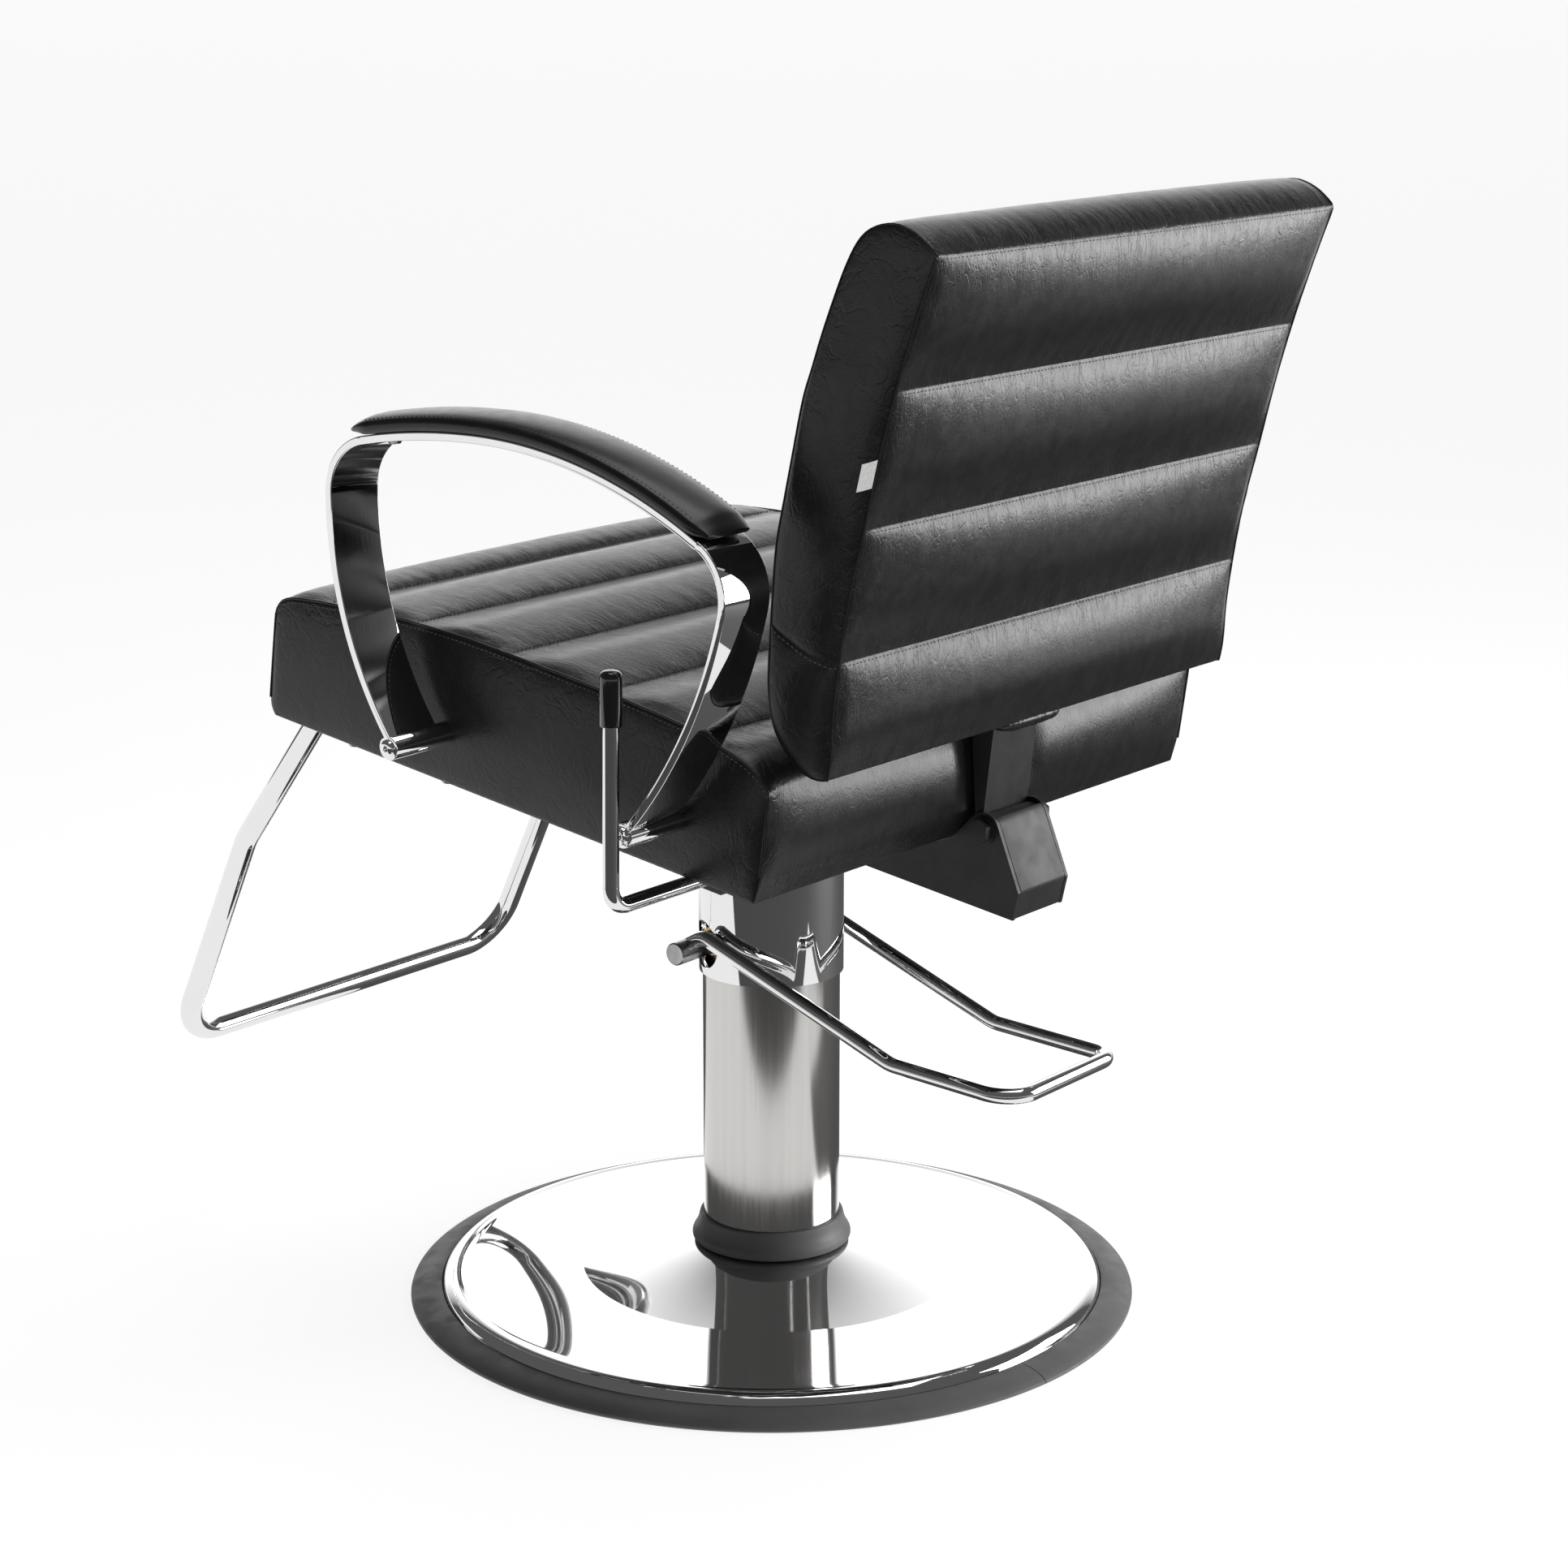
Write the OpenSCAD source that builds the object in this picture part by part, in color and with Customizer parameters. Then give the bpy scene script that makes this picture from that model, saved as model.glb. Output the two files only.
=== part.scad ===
// Styling chair with a hydraulic pump, swivel, reclining back, fixed arms and footrest.
// Frame: origin on the swivel axis at floor level, +Z up, the sitter faces -Y, +X is the sitter's left.
// The seat and its frame are pitched up to the front, so their parts are drawn in the frame made by
// seat_frame_at(): its XY plane is the underside of the seat.

/* [Base] */
// Outer radius of the rubber floor ring
base_r = 305; // [280:1:330]
// Radius where the chrome dish meets the rubber ring
dish_r = 278; // [255:1:295]
// Height of the dish at the foot of its rolled edge
dish_edge_z = 10.5; // [8:0.5:14]
// Height of the dish at the column
dish_top_z = 46; // [40:1:52]
// Outer radius of the lower column tube
tube_r = 57; // [54:0.5:58]
// Height of the lower column tube's upper end
tube_top_z = 286; // [270:1:288]

/* [Pump] */
// Outer radius of the chrome shroud
shroud_r = 60; // [59.5:0.25:64]
// Height of the shroud's lower edge
shroud_z0 = 280; // [272:1:284]
// Height of the shroud's upper edge
shroud_z1 = 398; // [380:1:399]
// Radius of the lifting ram
ram_r = 15; // [12:0.5:16]
// Distance of the pump shaft in front of the ram's axis
shaft_y = -29; // [-34:1:-28]
// Height of the pump shaft
shaft_z = 306; // [302:1:312]
// Radius of the pump shaft
shaft_r = 9.5; // [8:0.25:10]
// Radius of the pedal rod
pedal_rod_r = 6.35; // [5:0.05:7]
// Half width of the pedal loop
pedal_half_w = 70; // [68:1:80]

/* [Seat] */
// Height of the seat's underside at the swivel axis
seat_z = 462.8; // [462:0.2:466]
// Upward pitch of the seat to the front, in degrees
seat_pitch = 8.03; // [8.03:0.01:8.2]
// Half width of the seat
seat_half_w = 282; // [278:1:286]
// Front of the seat in its own frame
seat_front = -295; // [-300:1:-290]
// Rear of the seat in its own frame
seat_rear = 213; // [212:1:216]
// Greatest thickness of the seat cushion
seat_thick = 122; // [115:1:124]

/* [Footrest] */
// Radius of the footrest tube
foot_tube_r = 9.5; // [8:0.5:11]
// Half width of the footrest, tube centre
foot_half_w = 203; // [190:1:215]

/* [Arms] */
// Inner edge of the arm's flat bar
arm_x0 = 296; // [294:1:300]
// Outer edge of the arm's flat bar
arm_x1 = 346; // [340:1:348]
// Thickness of the arm's flat bar
arm_bar_t = 6.4; // [5:0.1:8]
// Thickness of the arm pad
pad_t = 14; // [10:1:18]

/* [Back] */
// Half width of the back cushion
back_half_w = 265; // [255:1:275]
// Recline pivot, distance behind the swivel axis
pivot_y = 237; // [237:1:238]
// Recline pivot, height
pivot_z = 443; // [443:1:444]

/* [Recline lever] */
// Position of the lever's upright rod across the chair
lever_x = 359; // [357:1:364]
// Distance of the lever's shaft behind the swivel axis
lever_y = 140.5; // [140:0.5:142]
// Height of the lever's shaft
lever_z = 436; // [435:0.5:436]
// Radius of the lever's rod
lever_r = 6; // [5.5:0.1:6.2]

/* [Hidden] */
$fn = 64;
eps = 0.02;
run_fit = 0.05;                       // radial clearance of a shaft that turns or slides in its bush
weld_w = 1.2;                         // width of the bead where a bend meets a straight length of bar
weld_h = 0.08;                        // height of that bead

// Chrome dish: height over radius, a tent that flares out from the column and ends in a rolled edge
dish_crease_r = 264;
dish_crease_z = 18.5;
dish_t = 1.5;
function dish_z(r) = let (u = (r - tube_r) / (dish_crease_r - tube_r))
    dish_crease_z + (dish_top_z - dish_crease_z) * (0.72 * exp(-6.5 * u) + 0.28 * pow(1 - u, 1.5));
function dish_points(drop, n = 22) = [for (i = [0:n]) let (r = tube_r + 0.8
    + (dish_crease_r - tube_r - 0.8) * pow(i / n, 1.4)) [r, dish_z(r) - drop]];
function roll_points(drop, n = 6) = [for (i = [1:n]) let (a = 90 * i / n)
    [dish_crease_r + (dish_r - drop * 0.6 - dish_crease_r) * sin(a),
     dish_edge_z - drop * 0.5 + (dish_crease_z - dish_edge_z - drop * 0.5) * cos(a)]];

// Swivel socket and pump
socket_r = 46;
socket_bore = 40;
socket_top_z = 250;
race_z = 18;
ear_top_z = 17;
pump_r = socket_bore - run_fit;
pump_bore = 20;
pump_floor_z = 40;
head_z0 = 286;
head_z1 = 330;
head_r = 50;
bush_r = 12;
shaft_end_x = 90;
ram_top_z = 450;
plunger_y = -44;
plunger_r = 3.5;

// Pedal loop, seen from the side: start on the shaft, hump, knee and rear bar
pedal_hump = [-15, 319];
pedal_knee = [177, 249.5];
pedal_rear = [293, 244.5];

// Footrest, seen from the side, from its clamps to the foot bar
foot_start = [-120, 467.5];
foot_top = [-308, 494.2];
foot_knee = [-410, 364];
foot_bar = [-505.8, 165.5];

// Arm loop from front foot to rear foot: [centre y, centre z, radius, first angle, last angle]
arm_front_bolt = [-93, 517.2];
arm_rear_bolt = [140, 487.6];
arm_arcs = [
    [145.6, 697, 294.6, 217, 180],
    [-104, 705, 45, 180, 101.1],
    [3, 160.3, 600, 101.1, 90],
    [3, 340.3, 420, 90, 60.4],
    [189, 667.5, 44.3, 60.4, -14],
    [-141.2, 749.8, 384.6, -14, -43],
];
pad_arcs = [
    [-104, 705, 45, 109, 101.1],
    [3, 160.3, 600, 101.1, 90],
    [3, 340.3, 420, 90, 60.4],
    [189, 667.5, 44.3, 60.4, 58],
];
standoff_r = 9.5;
arm_bolt_r = 4;
pad_screw_r = 2;
pad_screw_spots = [[2, 100.1], [3, 73.8]];   // which of the arm's arcs, and the angle on it

// Bracket under the seat, in the seat's frame
cheek_in = 30.5;
cheek_out = 34;
bracket_front = -150;
bracket_floor = -49.5;
bracket_rear = 274.7;
cover_knee = [276.7, -26.5];
lobe_r = 14;
plate_half_w = 110;
plate_rear = 130;
plate_t = 5;
hub_r = 26;

// Recline linkage, in the chair's frame
pivot = [pivot_y, pivot_z];
pivot_bolt_r = 6;
pivot_bush_r = 8;
pivot_tube_r = 11;
gas_rear = [pivot_y + 16, pivot_z - 42];
gas_front = [108, 412];
gas_len = norm(gas_rear - gas_front);
gas_angle = atan2(gas_rear[1] - gas_front[1], gas_rear[0] - gas_front[0]);
gas_pin_r = 4;
gas_eye_bore = 6.2;
gas_body_r = 11;
tab_y = 86;
tab_foot_z = 405;
gas_body_len = 75;
gas_body_s0 = gas_len - 15 - gas_body_len;
upright_lean = 7;
upright_half_w = 29.5;
upright_face_y = pivot_y - 5;
upright_top = 283;
upright_t = 5;

// Back cushion: its rear face is an arc whose lean grows from foot to head
back_arc_r = 1146;
back_arc_c = [1408.9, 467];
back_foot_t = 4.5;
back_foot_r = 29.5;
back_head_t = 21.2;
back_head_r = 34;
function back_point(t, off) = back_arc_c + (back_arc_r + off) * [-cos(t), sin(t)];
function back_depth(t) = 60 + (t - 6) * 0.6;

// Seat cushion crown, in the seat's frame
crown_y = -60;
crown_k = 0.0004;
function crown(y) = seat_thick - crown_k * pow(y - crown_y, 2);
board_t = 18;
dust_t = 1.5;
rail_x0 = 256;
rail_x1 = 274;

function arc(c, r, a0, a1, n = 10) = [for (i = [0:n]) let (a = a0 + (a1 - a0) * i / n)
    c + r * [cos(a), sin(a)]];
function strip(arcs, lo, hi) = concat(
    [for (s = arcs) each arc([s[0], s[1]], s[2] + hi, s[3], s[4])],
    [for (i = [len(arcs) - 1:-1:0]) let (s = arcs[i]) each arc([s[0], s[1]], s[2] + lo, s[4], s[3])]);
function unit(v) = v / norm(v);
function to_seat(p) = let (a = seat_pitch, z = p[1] - seat_z)
    [p[0] * cos(a) - z * sin(a), p[0] * sin(a) + z * cos(a)];

// ---- frames and shared shapes ----

// Draws in the frame of the seat's underside
module seat_frame_at() {
    translate([0, 0, seat_z]) rotate([-seat_pitch, 0, 0]) children();
}

// Turns a side outline (y, z) into a slab from x0 to x1
module slab(x0, x1) {
    translate([x0, 0, 0]) rotate([90, 0, 90]) linear_extrude(x1 - x0) children();
}

// A round bar along X through a side point
module bar_x(p, r, x0, x1) {
    translate([x0, p[0], p[1]]) rotate([0, 90, 0]) cylinder(r = r, h = x1 - x0);
}

// A box between two corners
module block(lo, hi) {
    translate(lo) cube(hi - lo);
}

// A straight round bar between two points
module rod(a, b, r) {
    d = b - a;
    translate(a) rotate([0, acos(d[2] / norm(d)), atan2(d[1], d[0])]) cylinder(r = r, h = norm(d));
}

// One bend: a piece of a torus that starts at the tangent point of the incoming bar
module bend(p, u, v, bend_r, r) {
    turn = acos(u * v);
    c = p + unit(v - u) * bend_r / cos(turn / 2);
    s = p - u * bend_r * tan(turn / 2);
    e = unit(s - c);
    n = cross(e, u);
    multmatrix([[e[0], u[0], n[0], c[0]], [e[1], u[1], n[1], c[1]], [e[2], u[2], n[2], c[2]], [0, 0, 0, 1]])
        rotate_extrude(angle = turn) translate([bend_r, 0]) circle(r = r);
}

// A bent round bar along points, with one bend radius for each inner point
module bent_bar(points, radii, r) {
    last = len(points) - 1;
    dirs = [for (i = [0:last - 1]) unit(points[i + 1] - points[i])];
    cut = [for (i = [0:last]) i == 0 || i == last ? 0
        : radii[i - 1] * tan(acos(dirs[i - 1] * dirs[i]) / 2)];
    union() {
        for (i = [0:last - 1])
            rod(points[i] + dirs[i] * cut[i], points[i + 1] - dirs[i] * cut[i + 1], r);
        for (i = [1:last - 1], k = [-1, 1]) {
            along = k < 0 ? dirs[i - 1] : dirs[i];
            seam = points[i] + along * k * cut[i];
            rod(seam - along * weld_w / 2, seam + along * weld_w / 2, r + weld_h);
        }
    }
    for (i = [1:last - 1])
        bend(points[i], dirs[i - 1], dirs[i], radii[i - 1], r);
}

// The flat link between two round bosses, seen from the side
module link_outline(p, rp, q, rq) {
    a = atan2(q[1] - p[1], q[0] - p[0]);
    b = acos((rp - rq) / norm(q - p));
    translate(p) circle(r = rp);
    translate(q) circle(r = rq);
    polygon([p + rp * [cos(a + b), sin(a + b)], p + rp * [cos(a - b), sin(a - b)],
        q + rq * [cos(a - b), sin(a - b)], q + rq * [cos(a + b), sin(a + b)]]);
}

// ---- base ----

module base_plate() {
    color("dimgray") difference() {
        union() {
            cylinder(r = 270, h = 6);
            cylinder(r = 70, h = 10);
            for (a = [45:90:315]) rotate(a) translate([58, 0, 9]) cylinder(r = 7.8, h = 2);
        }
        for (a = [45:90:315]) rotate(a) translate([58, 0, -1]) cylinder(r = 5, h = 12);
    }
}

module base_cover() {
    color("silver") rotate_extrude()
        polygon(concat(dish_points(0), roll_points(0),
            [[dish_r, dish_edge_z - 3], [dish_r - dish_t, dish_edge_z - 3]],
            [for (i = [5:-1:0]) roll_points(dish_t)[i]], [for (i = [22:-1:0]) dish_points(dish_t)[i]]));
}

module base_trim_ring() {
    color("#3a3a3c") difference() {
        rotate_extrude() polygon([[dish_r - 6, 0], [base_r - 1.5, 0], [base_r, 1.5], [base_r - 2, 4.5],
            [base_r - 10, 8.5], [dish_r + 5, dish_edge_z], [dish_r, dish_edge_z + 0.4],
            [dish_r, dish_edge_z - 3.2], [dish_r - 2, dish_edge_z - 3.2], [dish_r - 2, 3], [dish_r - 6, 3]]);
        rotate(84) block([dish_r - 10, -0.4, -1], [base_r + 5, 0.4, 20]);
    }
}

module column_gasket() {
    color("#3f3f41") rotate_extrude() polygon([[tube_r, dish_top_z + 1], [66, dish_top_z - 1.6],
        [67, dish_top_z + 1.5], [66, dish_top_z + 4.5], [63.2, dish_top_z + 9], [61.4, dish_top_z + 14],
        [60.4, dish_top_z + 20], [tube_r, dish_top_z + 20]]);
}

module outer_tube() {
    color("lightgray") difference() {
        translate([0, 0, 10]) cylinder(r = tube_r, h = tube_top_z - 10);
        translate([0, 0, 9]) cylinder(r = tube_r - 2, h = tube_top_z);
        for (a = [45:90:315]) rotate(a) translate([58, 0, 9]) cylinder(r = 12, h = 24);
    }
}

module swivel_socket() {
    color("gray") difference() {
        union() {
            rotate_extrude() polygon([[0, 10], [50, 10], [50, race_z], [socket_r, race_z],
                [socket_r, socket_top_z], [socket_bore, socket_top_z], [socket_bore, race_z], [0, race_z]]);
            for (a = [45:90:315]) rotate(a) block([44, -11, 11], [66, 11, ear_top_z]);
        }
        for (a = [45:90:315]) rotate(a) translate([58, 0, 9]) cylinder(r = 5, h = 12);
    }
}

module base_bolts() {
    color("dimgray") for (a = [45:90:315]) rotate(a) translate([58, 0, 0]) {
        translate([0, 0, 1]) cylinder(r = 5, h = ear_top_z - 1);
        translate([0, 0, ear_top_z]) cylinder(r = 9, h = 6, $fn = 6);
    }
}

module thrust_bearing() {
    color("silver") {
        translate([0, 0, race_z]) difference() {
            cylinder(r = 38, h = 3);
            translate([0, 0, -1]) cylinder(r = 22, h = 5);
        }
        for (a = [0:24:359]) rotate(a) translate([30, 0, race_z + 6]) sphere(r = 3.5);
    }
}

// ---- pump ----

module pump_cylinder() {
    color("gray") difference() {
        union() {
            translate([0, 0, race_z + 9.6]) cylinder(r = pump_r, h = head_z0 - race_z - 9.6 - 24);
            translate([0, 0, head_z0 - 24]) cylinder(r = head_r, h = 24);
        }
        translate([0, 0, pump_floor_z]) cylinder(r = pump_bore, h = head_z0 - 24 - pump_floor_z - 4);
        translate([0, 0, head_z0 - 40]) cylinder(r = ram_r + run_fit, h = 60);
        translate([0, plunger_y, head_z0 - 18]) cylinder(r = plunger_r + run_fit, h = 40);
    }
}

module pump_head() {
    color("darkgray") difference() {
        translate([0, 0, head_z0]) cylinder(r = head_r, h = head_z1 - head_z0);
        translate([0, 0, head_z0 - 1]) cylinder(r = ram_r + 1, h = head_z1 - head_z0 + 2);
        bar_x([shaft_y, shaft_z], bush_r, -60, 60);
        block([-9, -60, head_z0 - 1], [9, shaft_y, head_z1 + 1]);
    }
}

module shaft_bushes() {
    color("goldenrod") for (x = [-42, 12]) difference() {
        bar_x([shaft_y, shaft_z], bush_r, x, x + 30);
        bar_x([shaft_y, shaft_z], shaft_r + run_fit, x - 1, x + 31);
    }
}

module pump_shroud() {
    color("silver") difference() {
        translate([0, 0, shroud_z0]) cylinder(r = shroud_r, h = shroud_z1 - shroud_z0);
        translate([0, 0, shroud_z0 - 1]) cylinder(r = shroud_r - 1.6, h = shroud_z1 - shroud_z0 + 2);
        bar_x([shaft_y, shaft_z], 20, -80, 80);
    }
}

module shroud_cap() {
    color("#222222") difference() {
        translate([0, 0, shroud_z1 - 6]) cylinder(r = shroud_r - 1.6, h = 6);
        translate([0, 0, shroud_z1 - 7]) cylinder(r = 22, h = 8);
    }
}

module ram_guide() {
    color("goldenrod") difference() {
        union() {
            translate([0, 0, head_z1]) cylinder(r = 30, h = 6);
            translate([0, 0, head_z1]) cylinder(r = 22, h = shroud_z1 - head_z1 - 4);
        }
        translate([0, 0, head_z1 - 1]) cylinder(r = ram_r + run_fit, h = shroud_z1);
    }
}

module ram_seal() {
    color("#222222") difference() {
        translate([0, 0, shroud_z1 - 4]) cylinder(r = 22, h = 4);
        translate([0, 0, shroud_z1 - 5]) cylinder(r = ram_r + run_fit, h = 6);
    }
}

module pump_shaft() {
    color("gray") {
        bar_x([shaft_y, shaft_z], shaft_r, -shaft_end_x + 1, shaft_end_x - 1);
        for (s = [-1, 1]) translate([s * (shaft_end_x - 1), shaft_y, shaft_z]) rotate([0, s * 90, 0])
            cylinder(r1 = shaft_r, r2 = shaft_r - 1, h = 1);
        slab(-5, 5) link_outline([shaft_y, shaft_z], 6, [plunger_y, shaft_z - 3], 4);
    }
}

module pump_pedal() {
    w = pedal_half_w;
    outline = [[shaft_y, shaft_z + 5], pedal_hump, pedal_knee, pedal_rear];
    color("silver") difference() {
        bent_bar([for (s = [1, -1], i = s > 0 ? [0:3] : [3:-1:0]) [s * w, outline[i][0], outline[i][1]]],
            [16, 40, 28, 16, 40, 16], pedal_rod_r);
        bar_x([shaft_y, shaft_z], shaft_r, -shaft_end_x, shaft_end_x);
    }
}

module pump_plunger() {
    color("silver") {
        translate([0, plunger_y, head_z0 - 12]) cylinder(r = plunger_r, h = 22);
        translate([0, plunger_y, head_z0 + 9]) cylinder(r = 5, h = 1.2);
        translate([0, plunger_y, head_z0 + 10]) cylinder(r = 3, h = 1.3);
    }
}

// A compression spring as a swept helix of round wire
spring_turns = 4;
spring_r = 4.4;
spring_wire_r = 0.7;
spring_steps = 16;
spring_z0 = head_z0 + 0.9;
spring_h = 7.2;
function spring_ring(i) = let (a = 360 * i / spring_steps, k = i / (spring_turns * spring_steps))
    [for (j = [0:5]) let (b = 60 * j, r = spring_r + spring_wire_r * cos(b))
        [r * cos(a), plunger_y + r * sin(a), spring_z0 + (spring_h - 0.2) * k + spring_wire_r * sin(b)]];
module plunger_spring() {
    n = spring_turns * spring_steps;
    points = [for (i = [0:n]) each spring_ring(i)];
    sides = [for (i = [0:n - 1], j = [0:5]) [i * 6 + j, i * 6 + (j + 1) % 6, (i + 1) * 6 + (j + 1) % 6,
        (i + 1) * 6 + j]];
    ends = [[5, 4, 3, 2, 1, 0], [for (j = [0:5]) n * 6 + j]];
    color("silver") polyhedron(points, concat(ends, sides), convexity = 8);
}

// ---- seat, carried by the ram ----

module lift_ram() {
    ram_foot_z = pump_floor_z + 24;
    color("silver") translate([0, 0, ram_foot_z]) cylinder(r = ram_r, h = ram_top_z - ram_foot_z);
}

module ram_piston() {
    color("gray") translate([0, 0, pump_floor_z + 0.5]) {
        cylinder(r = pump_bore - run_fit, h = 23.5);
    }
}

// Side outline of one cheek, in the seat's frame
module cheek_outline() {
    p = to_seat(pivot);
    b = to_seat(gas_front);
    difference() {
        union() {
            translate(p) circle(r = lobe_r);
            polygon([[bracket_front, -plate_t], [bracket_front, -30], [bracket_front + 28, bracket_floor],
                [bracket_rear, bracket_floor], cover_knee, p + lobe_r * [cos(29.7), sin(29.7)],
                p, p + lobe_r * [cos(142), sin(142)], [208, -2], [187, -13], [170, -13], [167, -16],
                [plate_rear, -16], [plate_rear, -plate_t]]);
        }
        translate(p) circle(r = pivot_bolt_r);
        translate(b) circle(r = gas_pin_r);
    }
}

module seat_bracket() {
    color("#1c1c1e") {
        difference() {
            union() {
                seat_frame_at() {
                    for (x = [-cheek_out, cheek_in]) slab(x, x + cheek_out - cheek_in) cheek_outline();
                    block([-plate_half_w, bracket_front, -plate_t], [plate_half_w, plate_rear, 0]);
                    block([-cheek_in, bracket_front, -30], [cheek_in, bracket_front + 4, -plate_t]);
                    block([-cheek_in, bracket_front + 30, bracket_floor],
                        [cheek_in, -hub_r, bracket_floor + 3.5]);
                }
                translate([0, 0, 404]) cylinder(r = hub_r, h = 52);
            }
            translate([0, 0, 400]) cylinder(r = ram_r, h = ram_top_z - 400);
            seat_frame_at() for (x = [-90, 90], y = [-125, 105])
                translate([x, y, -plate_t - 1]) cylinder(r = 4, h = plate_t + 2);
        }
    }
}

module rear_cover() {
    t = 3;
    knee = cover_knee;
    top = [253.3, 21.5];
    color("#242426") seat_frame_at() slab(-cheek_in, cheek_in) difference() {
        polygon([[bracket_rear - 22, bracket_floor], [bracket_rear, bracket_floor], knee,
            top + [-1.5, 2], top + [-4.5, 3.4], top + [-8, 3.4], top + [-8, 0.4], top + [-5, 0.4],
            top + [-3.6, -0.8], knee + [-3.2, -0.6], [bracket_rear - 3.1, bracket_floor + t],
            [bracket_rear - 22, bracket_floor + t]]);
        translate(to_seat(pivot)) circle(r = pivot_tube_r + 1);
    }
}

module seat_bolts() {
    color("dimgray") seat_frame_at() for (x = [-90, 90], y = [-125, 105]) translate([x, y, 0]) {
        translate([0, 0, -plate_t]) cylinder(r = 4, h = plate_t + 14);
        translate([0, 0, -plate_t - 5]) cylinder(r = 7.5, h = 5, $fn = 6);
    }
}

module seat_frame_shape(margin) {
    m = margin;
    block([-rail_x1 - m, -278, dust_t], [rail_x1 + m, 198, dust_t + board_t + m]);
    for (s = [-1, 1]) {
        lo = s > 0 ? rail_x0 : -rail_x1;
        block([lo - m, -150, dust_t + board_t - eps], [lo + rail_x1 - rail_x0 + m, 175, 80 + m]);
    }
}

module arm_bolt_holes(r) {
    for (p = [arm_front_bolt, arm_rear_bolt]) bar_x(p, r, -400, 400);
}

module seat_frame() {
    color("burlywood") difference() {
        seat_frame_at() seat_frame_shape(0);
        arm_bolt_holes(arm_bolt_r);
        seat_frame_at() for (x = [-90, 90], y = [-125, 105]) translate([x, y, -1]) cylinder(r = 4, h = 15);
    }
}

module dust_cover() {
    color("#151515") difference() {
        seat_frame_at() block([-268, -280, 0], [268, 200, dust_t]);
        seat_frame_at() for (x = [-90, 90], y = [-125, 105]) translate([x, y, -1]) cylinder(r = 4, h = 5);
    }
}

module seat_cushion() {
    n = 16;
    y0 = seat_front + 16;
    y1 = seat_rear - 22;
    color("#141416") difference() {
        seat_frame_at() slab(-seat_half_w, seat_half_w)
            polygon(concat([[seat_front + 3, 0], [seat_front, 4], [seat_front + 3, crown(seat_front) - 8]],
                [for (i = [0:n]) let (y = y0 + (y1 - y0) * i / n) [y, crown(y)]],
                arc([seat_rear - 24, crown(y1) - 24], 24, 78, 0, 6), [[seat_rear, 4], [seat_rear - 4, 0]]));
        seat_frame_at() block([-268, -280, -1], [268, 200, dust_t]);
        seat_frame_at() seat_frame_shape(0);
        arm_bolt_holes(arm_bolt_r + 0.4);
    }
}

module footrest_tube() {
    w = foot_half_w;
    side = [foot_start, foot_top, foot_knee, foot_bar];
    color("silver") bent_bar(concat([for (p = side) [w, p[0], p[1]]],
        [for (i = [3:-1:0]) [-w, side[i][0], side[i][1]]]), [40, 60, 44, 44, 60, 40], foot_tube_r);
}

module footrest_clamps() {
    a = to_seat(foot_start);
    foot_slope = (foot_top[1] - foot_start[1]) / (foot_start[0] - foot_top[0]);
    color("#202022") difference() {
        seat_frame_at() for (s = [-1, 1], y = [-255, -150])
            block([s * foot_half_w - 26, y - 11, a[1] - 11.5], [s * foot_half_w + 26, y + 11, 0]);
        for (s = [-1, 1])
            rod([s * foot_half_w, foot_start[0] + 40, foot_start[1] - 40 * foot_slope],
                [s * foot_half_w, foot_top[0], foot_top[1]], foot_tube_r);
    }
}

module footrest_screws() {
    a = to_seat(foot_start);
    color("gray") seat_frame_at() for (s = [-1, 1], y = [-255, -150], k = [-1, 1])
        translate([s * foot_half_w + k * 19, y, a[1] - 14.5]) cylinder(r = 4.5, h = 3);
}

// ---- arms ----

// Draws at each screw that holds an arm pad: origin on the bar's underside, +Z square to the bar
module at_pad_screws(s) {
    for (spot = pad_screw_spots) {
        c = arm_arcs[spot[0]];
        r = c[2] - arm_bar_t / 2;
        translate([s * (arm_x0 + arm_x1) / 2, c[0] + r * cos(spot[1]), c[1] + r * sin(spot[1])])
            rotate([spot[1] - 90, 0, 0]) children();
    }
}

// The screw hole runs from just under the bar up into the pad
module pad_screw_holes(s) {
    at_pad_screws(s) translate([0, 0, -1]) cylinder(r = pad_screw_r, h = arm_bar_t + pad_t - 5);
}

module arm_frame(s) {
    color("silver") difference() {
        union() {
            slab(s > 0 ? arm_x0 : -arm_x1, s > 0 ? arm_x1 : -arm_x0)
                polygon(strip(arm_arcs, -arm_bar_t / 2, arm_bar_t / 2));
            for (p = [arm_front_bolt, arm_rear_bolt])
                bar_x(p, standoff_r, s > 0 ? seat_half_w + 0.3 : -arm_x1,
                    s > 0 ? arm_x1 : -seat_half_w - 0.3);
        }
        arm_bolt_holes(arm_bolt_r);
        pad_screw_holes(s);
    }
}

module arm_pad(s) {
    mid = s * (arm_x0 + arm_x1) / 2;
    color("#18181a") difference() {
        slab(mid - 28, mid + 28) polygon(strip(pad_arcs, arm_bar_t / 2, arm_bar_t / 2 + pad_t));
        pad_screw_holes(s);
    }
}

module arm_bolts(s) {
    color("silver") for (p = [arm_front_bolt, arm_rear_bolt]) {
        bar_x(p, arm_bolt_r, s > 0 ? rail_x0 + 2 : -arm_x1, s > 0 ? arm_x1 : -rail_x0 - 2);
        translate([s * arm_x1, p[0], p[1]]) rotate([0, s * 90, 0]) cylinder(r1 = 8, r2 = 5.5, h = 4);
    }
}

module pad_screws() {
    color("silver") for (s = [-1, 1]) at_pad_screws(s) {
        translate([0, 0, -0.5]) cylinder(r = pad_screw_r, h = arm_bar_t + pad_t - 5.5);
        translate([0, 0, -3.4]) cylinder(r1 = 4, r2 = 6, h = 3);
    }
}

// ---- recline pivot and back ----

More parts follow.
